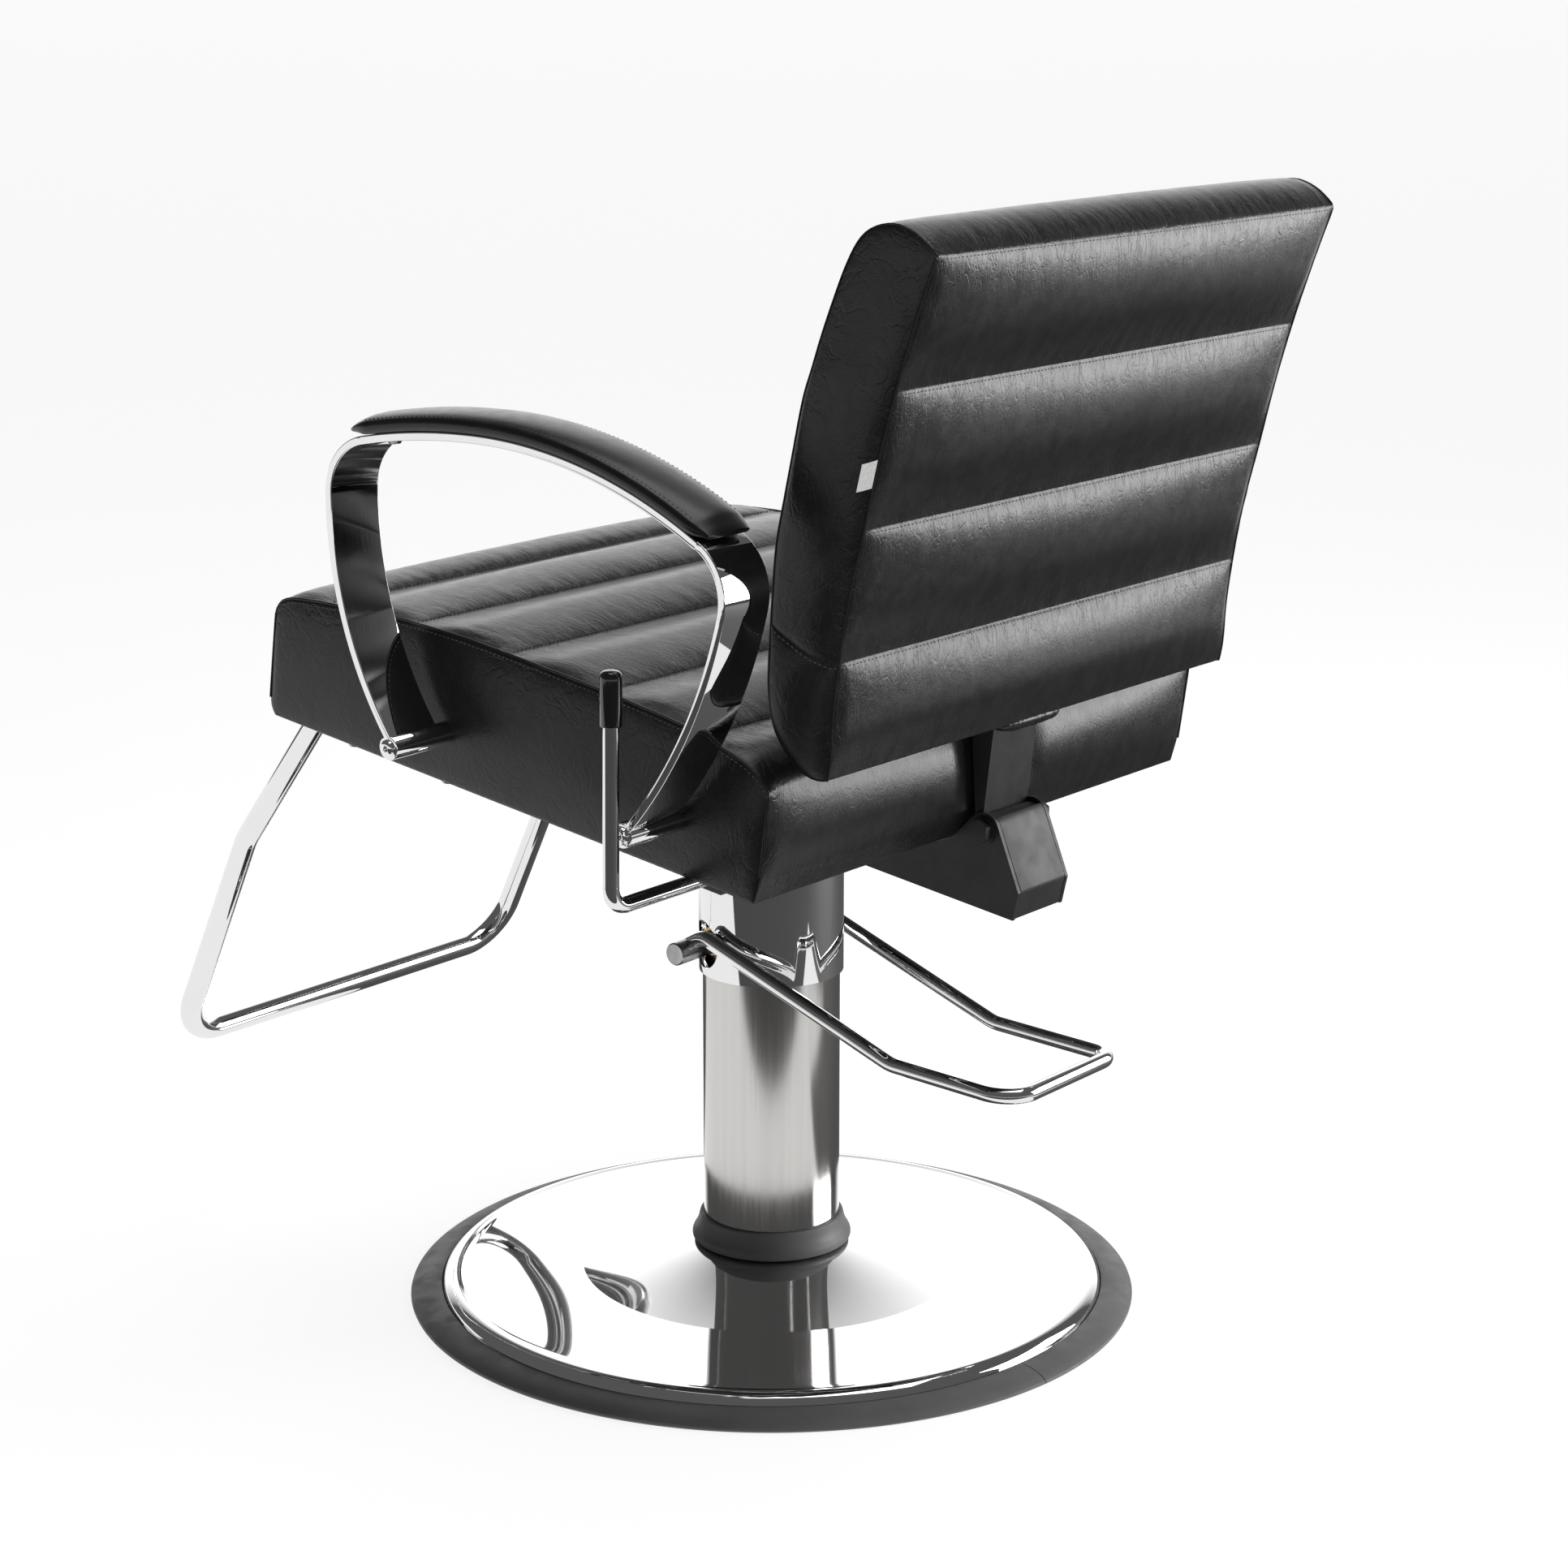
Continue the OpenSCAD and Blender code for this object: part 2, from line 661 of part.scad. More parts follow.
module pivot_bolt() {
    color("#1a1a1a") {
        bar_x(pivot, pivot_bolt_r, -cheek_out - 12, cheek_out + 1);
        bar_x(pivot, 11, cheek_out, cheek_out + 2);
        translate([cheek_out + 2, pivot_y, pivot_z]) rotate([0, 90, 0]) cylinder(r = 9.8, h = 7, $fn = 6);
    }
}

module pivot_nut() {
    color("#1a1a1a") difference() {
        translate([-cheek_out - 9, pivot_y, pivot_z]) rotate([0, 90, 0]) cylinder(r = 9.8, h = 9, $fn = 6);
        bar_x(pivot, pivot_bolt_r, -60, 60);
    }
}

module pivot_bushes() {
    color("ivory") for (x = [-upright_half_w - 0.5, upright_half_w - 15.5]) difference() {
        bar_x(pivot, pivot_bush_r, x, x + 16);
        bar_x(pivot, pivot_bolt_r + run_fit, x - 1, x + 17);
    }
}

// A strip along the upright's web, seen from the side, from front to rear of the web's rear face
module upright_strip(z0, z1, front, rear = 0) {
    k = tan(upright_lean);
    f = upright_face_y - front;
    b = upright_face_y + rear;
    polygon([[f + k * z0, pivot_z + z0], [b + k * z0, pivot_z + z0],
        [b + k * z1, pivot_z + z1], [f + k * z1, pivot_z + z1]]);
}

module back_upright() {
    k = tan(upright_lean);
    color("#1e1e20") difference() {
        union() {
            slab(-upright_half_w, upright_half_w) upright_strip(3, upright_top, upright_t);
            for (x = [-upright_half_w, upright_half_w - 4]) slab(x, x + 4)
                polygon([[upright_face_y - 6, pivot_z + 3], [upright_face_y, pivot_z + 3],
                    [upright_face_y + k * 84, pivot_z + 84], [upright_face_y - 11, pivot_z + 84]]);
            bar_x(pivot, pivot_tube_r, -upright_half_w, upright_half_w);
            for (x = [-13.5, 8.5]) slab(x, x + 5) link_outline(pivot, pivot_tube_r, gas_rear, 9);
        }
        bar_x(pivot, pivot_bush_r, -40, 40);
        bar_x(gas_rear, gas_pin_r, -40, 40);
        for (z = [140, 250], x = [-16, 16])
            translate([x, upright_face_y - 20, pivot_z + z]) rotate([-90, 0, 0]) cylinder(r = 3, h = 80);
    }
}

module board_outline() {
    k = tan(upright_lean);
    z0 = 122;
    z1 = 355;
    face = upright_face_y - upright_t;
    polygon([[face - 10 + k * z0, pivot_z + z0], [face + k * z0, pivot_z + z0],
        [face + k * z1, pivot_z + z1], [face - 10 + k * z1, pivot_z + z1]]);
}

module back_board() {
    color("burlywood") difference() {
        slab(-225, 225) board_outline();
        for (z = [140, 250], x = [-16, 16])
            translate([x, upright_face_y - 20, pivot_z + z]) rotate([-90, 0, 0]) cylinder(r = 3, h = 80);
    }
}

module back_bolts() {
    k = tan(upright_lean);
    color("dimgray") for (z = [140, 250], x = [-16, 16])
        translate([x, upright_face_y + k * z - 13, pivot_z + z]) rotate([-90, 0, 0]) {
            cylinder(r = 3, h = 14);
            translate([0, 0, 13.8]) cylinder(r = 5.5, h = 2.2);
        }
}

module back_cushion() {
    n = 12;
    color("#141416") difference() {
        slab(-back_half_w, back_half_w)
            polygon(concat(
                [for (i = [1:n - 1]) back_point(back_foot_t + (back_head_t - back_foot_t) * i / n, 0)],
                arc(back_point(back_head_t, back_head_r), back_head_r, -back_head_t, 180 - back_head_t, 12),
                [for (i = [n:-1:0]) let (t = 6.5 + (19.8 - 6.5) * i / n) back_point(t, back_depth(t))],
                arc(back_point(back_foot_t, back_foot_r), back_foot_r, 180 - back_foot_t,
                    360 - back_foot_t, 12)));
        slab(-226, 226) board_outline();
        slab(-upright_half_w - 1, upright_half_w + 1) upright_strip(60, upright_top + 1, upright_t + 8, 4);
    }
}

module back_tag() {
    a = back_point(14.6, 1);
    b = back_point(15.6, 1);
    color("white") slab(back_half_w, back_half_w + 0.8)
        polygon([a, b, b + [-15, -4], a + [-15, -4]]);
}

// ---- gas spring ----

// Draws along the gas spring: +X here runs from the front pin to the rear pin
module along_spring() {
    translate([0, gas_front[0], gas_front[1]]) rotate([gas_angle, 0, 0]) rotate([0, 0, 90]) children();
}

// A round bar along the gas spring
module spring_bar(r, s0, s1) {
    along_spring() translate([s0, 0, 0]) rotate([0, 90, 0]) cylinder(r = r, h = s1 - s0);
}

module gas_spring_rod() {
    color("silver") difference() {
        union() {
            bar_x(gas_front, 9, -9, 9);
            spring_bar(5.5, -13, -6);
            spring_bar(4, 2, gas_body_s0 + 14);
            spring_bar(7.95, gas_body_s0 + 12, gas_body_s0 + 18);
        }
        bar_x(gas_front, gas_pin_r + run_fit, -20, 20);
        spring_bar(1.55, -20, -4.3);
    }
}

module gas_spring_cylinder() {
    color("#1b1b1d") difference() {
        union() {
            spring_bar(gas_body_r, gas_body_s0, gas_body_s0 + gas_body_len);
            spring_bar(6, gas_body_s0 + gas_body_len - 4, gas_len - 7.5);
            bar_x(gas_rear, 9.5, -7, 7);
        }
        spring_bar(8, gas_body_s0 + 8, gas_body_s0 + gas_body_len - 8);
        spring_bar(4.05, gas_body_s0 - 1, gas_body_s0 + 9);
        bar_x(gas_rear, gas_eye_bore, -20, 20);
    }
}

module spring_front_pin() {
    color("gray") bar_x(gas_front, gas_pin_r, -cheek_out - 2, cheek_out + 2);
}

module spring_rear_pin() {
    color("gray") bar_x(gas_rear, gas_pin_r, -16, 16);
}

module release_pin() {
    color("silver") {
        spring_bar(1.5, -18.6, -9.5);
        spring_bar(3, -20, -18.5);
    }
}

// ---- recline release lever ----

module release_lever() {
    color("silver") {
        bent_bar([[-8, lever_y, lever_z], [lever_x, lever_y, lever_z], [lever_x, lever_y + 2.5, 600]],
            [16], lever_r);
        slab(-4, 4) {
            translate([lever_y, lever_z]) circle(r = lever_r + 0.6);
            polygon([[lever_y, lever_z - 6], [lever_y, lever_z + 3], [tab_y - 6, lever_z + 4],
                [tab_y - 6, tab_foot_z], [tab_y, tab_foot_z], [tab_y, lever_z - 5]]);
        }
    }
}

module lever_grip() {
    color("#151515") difference() {
        translate([lever_x, lever_y + 2.1, 571]) rotate([-0.9, 0, 0]) {
            cylinder(r = 8.2, h = 37);
            translate([0, 0, 37]) cylinder(r1 = 8.2, r2 = 6.2, h = 3.5);
        }
        bent_bar([[-8, lever_y, lever_z], [lever_x, lever_y, lever_z], [lever_x, lever_y + 2.5, 600]],
            [16], lever_r);
    }
}

module lever_bearings() {
    p = to_seat([lever_y, lever_z]);
    color("#202022") difference() {
        seat_frame_at() for (x = [60, 240]) block([x - 8, p[0] - 12, p[1] - 11], [x + 8, p[0] + 12, 0]);
        bar_x([lever_y, lever_z], lever_r + run_fit, 0, 300);
    }
}

base_plate();
base_cover();
base_trim_ring();
column_gasket();
outer_tube();
swivel_socket();
base_bolts();
thrust_bearing();
pump_cylinder();
pump_head();
shaft_bushes();
pump_shroud();
shroud_cap();
ram_guide();
ram_seal();
pump_shaft();
pump_pedal();
pump_plunger();
plunger_spring();
lift_ram();
ram_piston();
seat_bracket();
rear_cover();
seat_bolts();
seat_frame();
dust_cover();
seat_cushion();
footrest_tube();
footrest_clamps();
footrest_screws();
arm_frame(1);  // arm_frame_left
arm_frame(-1);  // arm_frame_right
arm_pad(1);  // arm_pad_left
arm_pad(-1);  // arm_pad_right
arm_bolts(1);  // arm_bolts_left
arm_bolts(-1);  // arm_bolts_right
pad_screws();
pivot_bolt();
pivot_nut();
pivot_bushes();
back_upright();
back_board();
back_bolts();
back_cushion();
back_tag();
gas_spring_rod();
gas_spring_cylinder();
spring_front_pin();
spring_rear_pin();
release_pin();
release_lever();
lever_grip();
lever_bearings();
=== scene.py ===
"""Looks of the styling chair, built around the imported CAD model.

Lengths are in millimetres in the chair's frame: +Z is up, the sitter faces -Y and +X is the sitter's left.
piece() turns them into metres. Each piece rides on a CAD body and stands for the CAD nodes it replaces.
"""

import math

import bmesh
import bpy
from mathutils import Matrix, Vector, noise
from mathutils.bvhtree import BVHTree
from mathutils.kdtree import KDTree


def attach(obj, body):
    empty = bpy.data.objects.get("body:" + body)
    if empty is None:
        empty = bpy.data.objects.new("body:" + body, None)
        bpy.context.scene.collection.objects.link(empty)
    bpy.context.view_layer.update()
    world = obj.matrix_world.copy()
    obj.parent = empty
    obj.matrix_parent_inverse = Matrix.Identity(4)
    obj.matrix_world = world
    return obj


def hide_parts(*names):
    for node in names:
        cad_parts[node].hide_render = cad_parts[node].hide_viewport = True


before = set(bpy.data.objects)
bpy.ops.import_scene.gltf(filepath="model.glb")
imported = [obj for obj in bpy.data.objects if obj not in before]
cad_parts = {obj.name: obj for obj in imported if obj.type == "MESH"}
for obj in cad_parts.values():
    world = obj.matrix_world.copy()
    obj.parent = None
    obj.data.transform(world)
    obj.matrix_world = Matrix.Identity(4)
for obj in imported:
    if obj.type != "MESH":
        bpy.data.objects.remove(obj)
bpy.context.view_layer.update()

MM = 0.001
scene = bpy.context.scene


# ---- materials ----


class Finish:
    """A procedural material: one Principled shader whose colour, roughness and bump come from noise."""

    def __init__(self, name, **constants):
        self.material = bpy.data.materials.new(name + "_finish")
        self.material.use_nodes = True
        self.tree = self.material.node_tree
        self.shader = self.tree.nodes["Principled BSDF"]
        self.place = self.add("ShaderNodeTexCoord").outputs["Object"]
        self.normal = None
        for socket, value in constants.items():
            self.shader.inputs[socket.replace("_", " ")].default_value = value

    def add(self, kind, **settings):
        node = self.tree.nodes.new(kind)
        for key, value in settings.items():
            setattr(node, key, value)
        return node

    def link(self, source, target):
        self.tree.links.new(source, target)

    def placed(self, stretch):
        mapping = self.add("ShaderNodeMapping")
        mapping.inputs["Scale"].default_value = stretch
        self.link(self.place, mapping.inputs["Vector"])
        return mapping.outputs["Vector"]

    def noise(self, scale, stretch=(1, 1, 1), detail=3.0, warp=0.0):
        node = self.add("ShaderNodeTexNoise")
        node.inputs["Scale"].default_value = scale
        node.inputs["Detail"].default_value = detail
        node.inputs["Distortion"].default_value = warp
        self.link(self.placed(stretch), node.inputs["Vector"])
        return node.outputs["Fac"]

    def folds(self, stretch, width, warp=1.5):
        """Fine winding grooves where a noise passes its middle: 0 along their beds and 1 between them."""
        wave = self.add("ShaderNodeMath", operation="SUBTRACT")
        self.link(self.noise(1, stretch, detail=2, warp=warp), wave.inputs[0])
        wave.inputs[1].default_value = 0.5
        depth = self.add("ShaderNodeMath", operation="ABSOLUTE")
        self.link(wave.outputs[0], depth.inputs[0])
        return self.span(depth.outputs[0], 0, 1, 0, width)

    def cells(self, scale):
        node = self.add("ShaderNodeTexVoronoi")
        node.inputs["Scale"].default_value = scale
        self.link(self.placed((1, 1, 1)), node.inputs["Vector"])
        return node.outputs["Distance"]

    def span(self, value, low, high, start=0.35, stop=0.65):
        """Maps start to stop, by default the middle of a noise, onto low to high."""
        node = self.add("ShaderNodeMapRange")
        for socket, number in zip(("From Min", "From Max", "To Min", "To Max"), (start, stop, low, high)):
            node.inputs[socket].default_value = number
        self.link(value, node.inputs["Value"])
        return node.outputs["Result"]

    def times(self, a, b):
        node = self.add("ShaderNodeMath", operation="MULTIPLY")
        self.link(a, node.inputs[0])
        self.link(b, node.inputs[1])
        return node.outputs[0]

    def attribute(self, name):
        return self.add("ShaderNodeAttribute", attribute_name=name).outputs["Fac"]

    def colour(self, value, dark, light):
        ramp = self.add("ShaderNodeValToRGB")
        ramp.color_ramp.elements[0].position, ramp.color_ramp.elements[1].position = 0.35, 0.65
        ramp.color_ramp.elements[0].color = (*dark, 1)
        ramp.color_ramp.elements[1].color = (*light, 1)
        self.link(value, ramp.inputs["Fac"])
        self.link(ramp.outputs["Color"], self.shader.inputs["Base Color"])

    def roughness(self, value, low, high):
        self.link(self.span(value, low, high), self.shader.inputs["Roughness"])

    def bump(self, height, depth_mm):
        """Adds a bump of the given depth on top of the earlier ones."""
        node = self.add("ShaderNodeBump")
        node.inputs["Distance"].default_value = depth_mm * MM
        self.link(height, node.inputs["Height"])
        if self.normal is not None:
            self.link(self.normal, node.inputs["Normal"])
        self.normal = node.outputs["Normal"]
        self.link(self.normal, self.shader.inputs["Normal"])


def metal(name, dark, light, rough, scratch_mm, stretch=(1, 1, 1), scale=30.0):
    f = Finish(name, Metallic=1.0)
    f.colour(f.noise(scale, stretch), dark, light)
    f.roughness(f.noise(scale * 2.7, stretch, detail=5), *rough)
    f.bump(f.noise(scale * 9, stretch, detail=2), scratch_mm)
    return f.material


def coated(name, dark, light, rough, grain, grain_mm, **constants):
    f = Finish(name, **constants)
    f.colour(f.noise(24, detail=4), dark, light)
    f.roughness(f.noise(60, detail=5), *rough)
    f.bump(f.noise(grain, detail=2), grain_mm)
    return f.material


def leather(name, creases):
    """Soft black vinyl: pebbled grain, cloudy gloss and, with creases, folds where the seams pull at it."""
    f = Finish(name, IOR=1.5, Specular_IOR_Level=0.42)
    f.colour(f.noise(45, detail=6), (0.005, 0.005, 0.0053), (0.009, 0.0088, 0.009))
    f.roughness(f.noise(90, detail=3), 0.29, 0.335)
    if creases:
        pull = f.attribute("pull")
        f.bump(f.times(f.noise(1, (60, 24, 24), detail=3, warp=1.0), pull), 0.5)
        f.bump(f.times(f.folds((85, 32, 32), 0.05), pull), 0.11)
        f.bump(f.times(f.folds((190, 70, 70), 0.07), pull), 0.05)
    f.bump(f.noise(140, detail=3, warp=0.3), 0.04)
    f.bump(f.noise(450, detail=4, warp=0.4), 0.05)
    f.bump(f.cells(900), 0.03)
    return f.material


def make_wood(name):
    f = Finish(name)
    grain = f.noise(9, (1, 1, 14), detail=6, warp=1.5)
    f.colour(grain, (0.30, 0.18, 0.09), (0.52, 0.36, 0.20))
    f.roughness(grain, 0.55, 0.7)
    f.bump(f.noise(40, (1, 1, 30), detail=4), 0.15)
    return f.material


def make_weave(name, dark, light):
    f = Finish(name, Roughness=0.85, Sheen_Weight=0.3)
    threads = f.cells(600)
    f.colour(threads, dark, light)
    f.bump(threads, 0.2)
    return f.material


MATERIALS = {
    "chrome": metal("chrome", (0.815, 0.815, 0.82), (0.83, 0.83, 0.835), (0.02, 0.03), 0.00005),
    "satin_chrome": metal("satin_chrome", (0.60, 0.585, 0.57), (0.625, 0.61, 0.595), (0.13, 0.16), 0.0002,
                          (1, 1, 0.012), 160),
    "steel": metal("steel", (0.33, 0.33, 0.34), (0.55, 0.55, 0.56), (0.25, 0.4), 0.01),
    "bronze": metal("bronze", (0.4, 0.26, 0.12), (0.6, 0.42, 0.22), (0.3, 0.45), 0.01),
    "rubber": coated("rubber", (0.115, 0.113, 0.117), (0.135, 0.132, 0.137), (0.45, 0.6), 700, 0.05),
    "black_powder": coated("black_powder", (0.014, 0.014, 0.015), (0.020, 0.020, 0.021), (0.40, 0.50),
                           1300, 0.08, Specular_IOR_Level=0.32),
    "black_plastic": coated("black_plastic", (0.014, 0.014, 0.014), (0.024, 0.024, 0.024), (0.35, 0.5),
                            500, 0.03),
    "nylon": coated("nylon", (0.5, 0.48, 0.42), (0.62, 0.6, 0.55), (0.35, 0.5), 400, 0.02),
    "black_grip": coated("black_grip", (0.004, 0.004, 0.004), (0.008, 0.008, 0.008), (0.1, 0.18), 90, 0.05,
                         Coat_Weight=0.6, Coat_Roughness=0.06),
    "white_tag": make_weave("white_tag", (0.90, 0.90, 0.89), (0.96, 0.96, 0.95)),
    "dust_fabric": make_weave("dust_fabric", (0.006, 0.006, 0.006), (0.02, 0.02, 0.02)),
    "plywood": make_wood("plywood"),
    "black_vinyl": leather("black_vinyl", creases=False),
}
CREASED = leather("black_vinyl_creased", creases=True)
THREAD = coated("thread", (0.08, 0.08, 0.082), (0.14, 0.138, 0.14), (0.5, 0.7), 900, 0.05)

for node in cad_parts.values():
    node.data.materials[0] = MATERIALS[node.data.materials[0].name.split(".")[0]]


# ---- shapes ----


def side(x, p):
    """The point of the side outline p = (y, z) at x."""
    return Vector((x, p[0], p[1]))


def arc_points(arcs, step=4.0, offset=0.0):
    """Points (y, z) along tangent arcs given as centre y, centre z, radius, first and last angle."""
    points = []
    for cy, cz, radius, a0, a1 in arcs:
        count = max(2, math.ceil(abs(math.radians(a1 - a0)) * radius / step))
        for i in range(count + 1):
            a = math.radians(a0 + (a1 - a0) * i / count)
            p = Vector((cy + (radius + offset) * math.cos(a), cz + (radius + offset) * math.sin(a)))
            if not points or (p - points[-1]).length > 0.01:
                points.append(p)
    return points


def spline(points, count):
    """count + 1 evenly spaced points on a smooth curve through the given ones."""
    p = [Vector(q) for q in points]
    p = [2 * p[0] - p[1]] + p + [2 * p[-1] - p[-2]]
    dense = [p[1]]
    for a, b, c, d in zip(p, p[1:], p[2:], p[3:]):
        for k in range(1, 17):
            t = k / 16
            dense.append(0.5 * (2 * b + (c - a) * t + (2 * a - 5 * b + 4 * c - d) * t ** 2
                                + (3 * b - a - 3 * c + d) * t ** 3))
    return resample(dense, count)


def eased(t):
    """Runs from 0 to 1 with short steps at both ends, to give seams close rows."""
    return 0.25 * t + 0.75 * (0.5 - 0.5 * math.cos(math.pi * t))


def resample(points, count, spacing=lambda t: t):
    """count + 1 points along a line of points, spaced evenly or as spacing says."""
    runs = [0.0]
    for a, b in zip(points, points[1:]):
        runs.append(runs[-1] + (b - a).length)
    out, k = [], 0
    for i in range(count + 1):
        s = runs[-1] * spacing(i / count)
        while k < len(points) - 2 and runs[k + 1] < s:
            k += 1
        t = (s - runs[k]) / max(runs[k + 1] - runs[k], 1e-9)
        out.append(points[k].lerp(points[k + 1], min(max(t, 0), 1)))
    return out


def rounded_path(corners, radii, step=3.0):
    """A path along corner points whose inner corners are rounded to the radii."""
    path = [corners[0]]
    for p, before, after, radius in zip(corners[1:-1], corners, corners[2:], radii):
        a, b = (before - p).normalized(), (after - p).normalized()
        half = a.angle(b) / 2
        start = p + a * radius / math.tan(half)
        centre = p + (a + b).normalized() * radius / math.sin(half)
        turn = math.pi - 2 * half
        axis = (start - centre).cross(p + b * radius / math.tan(half) - centre).normalized()
        count = max(4, math.ceil(turn * radius / step))
        path += [centre + Matrix.Rotation(turn * i / count, 3, axis) @ (start - centre)
                 for i in range(count + 1)]
    return path + [corners[-1]]


def piece(name, points, faces, slot, body, replaces=(), sharp=35.0, material=None):
    """A mesh object with the finish of its slot, the CAD body it rides on and the CAD nodes it stands for."""
    mesh = bpy.data.meshes.new(name)
    mesh.from_pydata([Vector(p) * MM for p in points], [], faces)
    b = bmesh.new()
    b.from_mesh(mesh)
    bmesh.ops.recalc_face_normals(b, faces=b.faces)
    b.to_mesh(mesh)
    b.free()
    mesh.shade_smooth()
    mesh.set_sharp_from_angle(angle=math.radians(sharp))
    obj = bpy.data.objects.new(name, mesh)
    scene.collection.objects.link(obj)
    mesh.materials.append(material or MATERIALS[slot])
    return settle(obj, body, replaces)


def settle(obj, body, replaces=()):
    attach(obj, body)
    if replaces:
        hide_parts(*replaces)
    return obj


def sweep(path, section, first_side=None, closed=False):
    """Points and faces of closed sections carried along a path. section(i) gives (side, up) offsets."""
    n = len(path)
    points, faces = [], []
    side_axis = first_side
    for i, p in enumerate(path):
        before = path[i - 1] if i or closed else p
        after = path[(i + 1) % n] if i < n - 1 or closed else p
        along = (after - before).normalized()
        if side_axis is None:
            side_axis = along.orthogonal()
        side_axis = (side_axis - along * side_axis.dot(along)).normalized()
        up = side_axis.cross(along)
        points += [p + side_axis * s + up * u for s, u in section(i)]
    m = len(points) // n
    for i in range(n if closed else n - 1):
        a, b = i * m, (i + 1) % n * m
        faces += [(a + j, a + (j + 1) % m, b + (j + 1) % m, b + j) for j in range(m)]
    if not closed:
        faces += [tuple(range(m - 1, -1, -1)), tuple(range((n - 1) * m, n * m))]
    return points, faces


def circle(radius, count=24):
    return [(radius * math.cos(math.tau * j / count), radius * math.sin(math.tau * j / count))
            for j in range(count)]


def tube(path, radius, chamfer=0.8, count=24):
    """A round bar along a path, with small chamfers at its two ends."""
    a = (path[1] - path[0]).normalized() * chamfer
    b = (path[-2] - path[-1]).normalized() * chamfer
    whole = [path[0], path[0] + a] + path[1:-1] + [path[-1] + b, path[-1]]
    last = len(whole) - 1
    return sweep(whole, lambda i: circle(radius - chamfer if i in (0, last) else radius, count))


def rounded_box(width, height, radius, steps=4):
    """The outline of a bar's section with rounded edges."""
    out = []
    for k, (sx, sy) in enumerate(((1, 1), (-1, 1), (-1, -1), (1, -1))):
        for j in range(steps + 1):
            a = math.radians(90 * k + 90 * j / steps)
            out.append((sx * (width / 2 - radius) + radius * math.cos(a),
                        sy * (height / 2 - radius) + radius * math.sin(a)))
    return out


def turned(profile, place=Matrix.Identity(4), segments=160, start=0.0, extent=360.0):
    """Points and faces of an open profile (radius, height) turned about Z and then put in place."""
    whole = extent >= 360
    count = segments if whole else segments + 1
    points, faces = [], []
    for i in range(count):
        a = math.radians(start + extent * i / segments)
        points += [place @ Vector((r * math.cos(a), r * math.sin(a), z)) for r, z in profile]
    m = len(profile)
    for i in range(segments):
        a, b = i * m, (i + 1) % count * m
        faces += [(a + j, b + j, b + j + 1, a + j + 1) for j in range(m - 1)]
    return points, faces


def joined(*parts):
    """Several point and face lists as one."""
    points, faces = [], []
    for p, f in parts:
        base = len(points)
        points += p
        faces += [tuple(base + i for i in face) for face in f]
    return points, faces


def across_x(y, z, x=0.0, sign=1):
    """Puts a turned part's axis along X (or -X) through (y, z), with its foot at x."""
    return Matrix.Translation((x, y, z)) @ Matrix.Rotation(sign * math.pi / 2, 4, "Y")


# ---- base: dish, rubber ring, gasket, column ----

TUBE_R = 57.0
DISH_R = 278.0
BASE_R = 305.0
BASE_SEGMENTS = 256
CREASE_R, CREASE_Z, DISH_TOP_Z = 262.0, 18.2, 46.0


def dish_height(r):
    u = (r - TUBE_R) / (CREASE_R - TUBE_R)
    return CREASE_Z + (DISH_TOP_Z - CREASE_Z) * (0.72 * math.exp(-6.5 * u) + 0.28 * (1 - u) ** 1.5)


def smooth(points, count):
    """A turned profile's (radius, height) points as a smooth curve of count steps."""
    return [(p.x, p.y) for p in spline([(*p, 0) for p in points], count)]


# The dish's rows lie closer together beside the column, where it is steep
DISH_ROWS = 60
BORE_R = TUBE_R + 0.8
dish_radii = [BORE_R + (CREASE_R - BORE_R) * (i / DISH_ROWS) ** 1.3 for i in range(DISH_ROWS + 1)]
dish = [(r, dish_height(r)) for r in dish_radii]
rim = smooth([(CREASE_R, CREASE_Z), (264.5, 18.6), (268, 18.9), (272.5, 17.4), (276.3, 14.2),
              (DISH_R, 10.6)], 24)
underside = [(DISH_R - 1.4, 9.0), (DISH_R - 3, 12.5), (270, 15.8), (262, 16.4), (170, 19.5),
             (TUBE_R + 1.2, 43.5)]
piece("base_dish", *turned(dish + rim[1:] + underside, segments=BASE_SEGMENTS), "chrome", "base",
      ["base_cover"], 50)

ring = [(272.5, 0.0), (302.5, 0.0), (304.4, 0.6), (BASE_R, 2.0), (304.4, 3.6), (301.5, 5.6), (296.5, 7.9),
        (290.0, 9.6), (284.0, 10.5), (280.5, 10.9), (278.9, 10.6), (278.4, 9.4), (278.3, 7.4), (276.2, 7.2),
        (276.2, 3.2), (272.5, 3.0), (272.5, 0.0)]
# The ring is cut once, and its two ends meet at a butt joint
JOINT_DEG = 84.0
GAP_DEG = 0.16
ring_points, ring_faces = turned(ring, segments=BASE_SEGMENTS, start=JOINT_DEG + GAP_DEG / 2,
                                 extent=360 - GAP_DEG)
last_end = BASE_SEGMENTS * len(ring)
ring_faces += [tuple(range(len(ring) - 1)), tuple(range(last_end + len(ring) - 2, last_end - 1, -1))]
piece("base_ring", ring_points, ring_faces, "rubber", "base", ["base_trim_ring"], 30)

gasket = smooth([(TUBE_R + 0.1, 47.2), (62.0, 44.0), (65.8, 44.4), (67.0, 47.0), (66.2, 50.4), (63.9, 54.2),
                 (62.1, 58.6), (60.9, 63.2), (60.2, 65.6), (59.0, 66.3), (TUBE_R + 0.1, 66.0)], 60)
piece("column_gasket_skin", *turned(gasket), "rubber", "base", ["column_gasket"], 50)

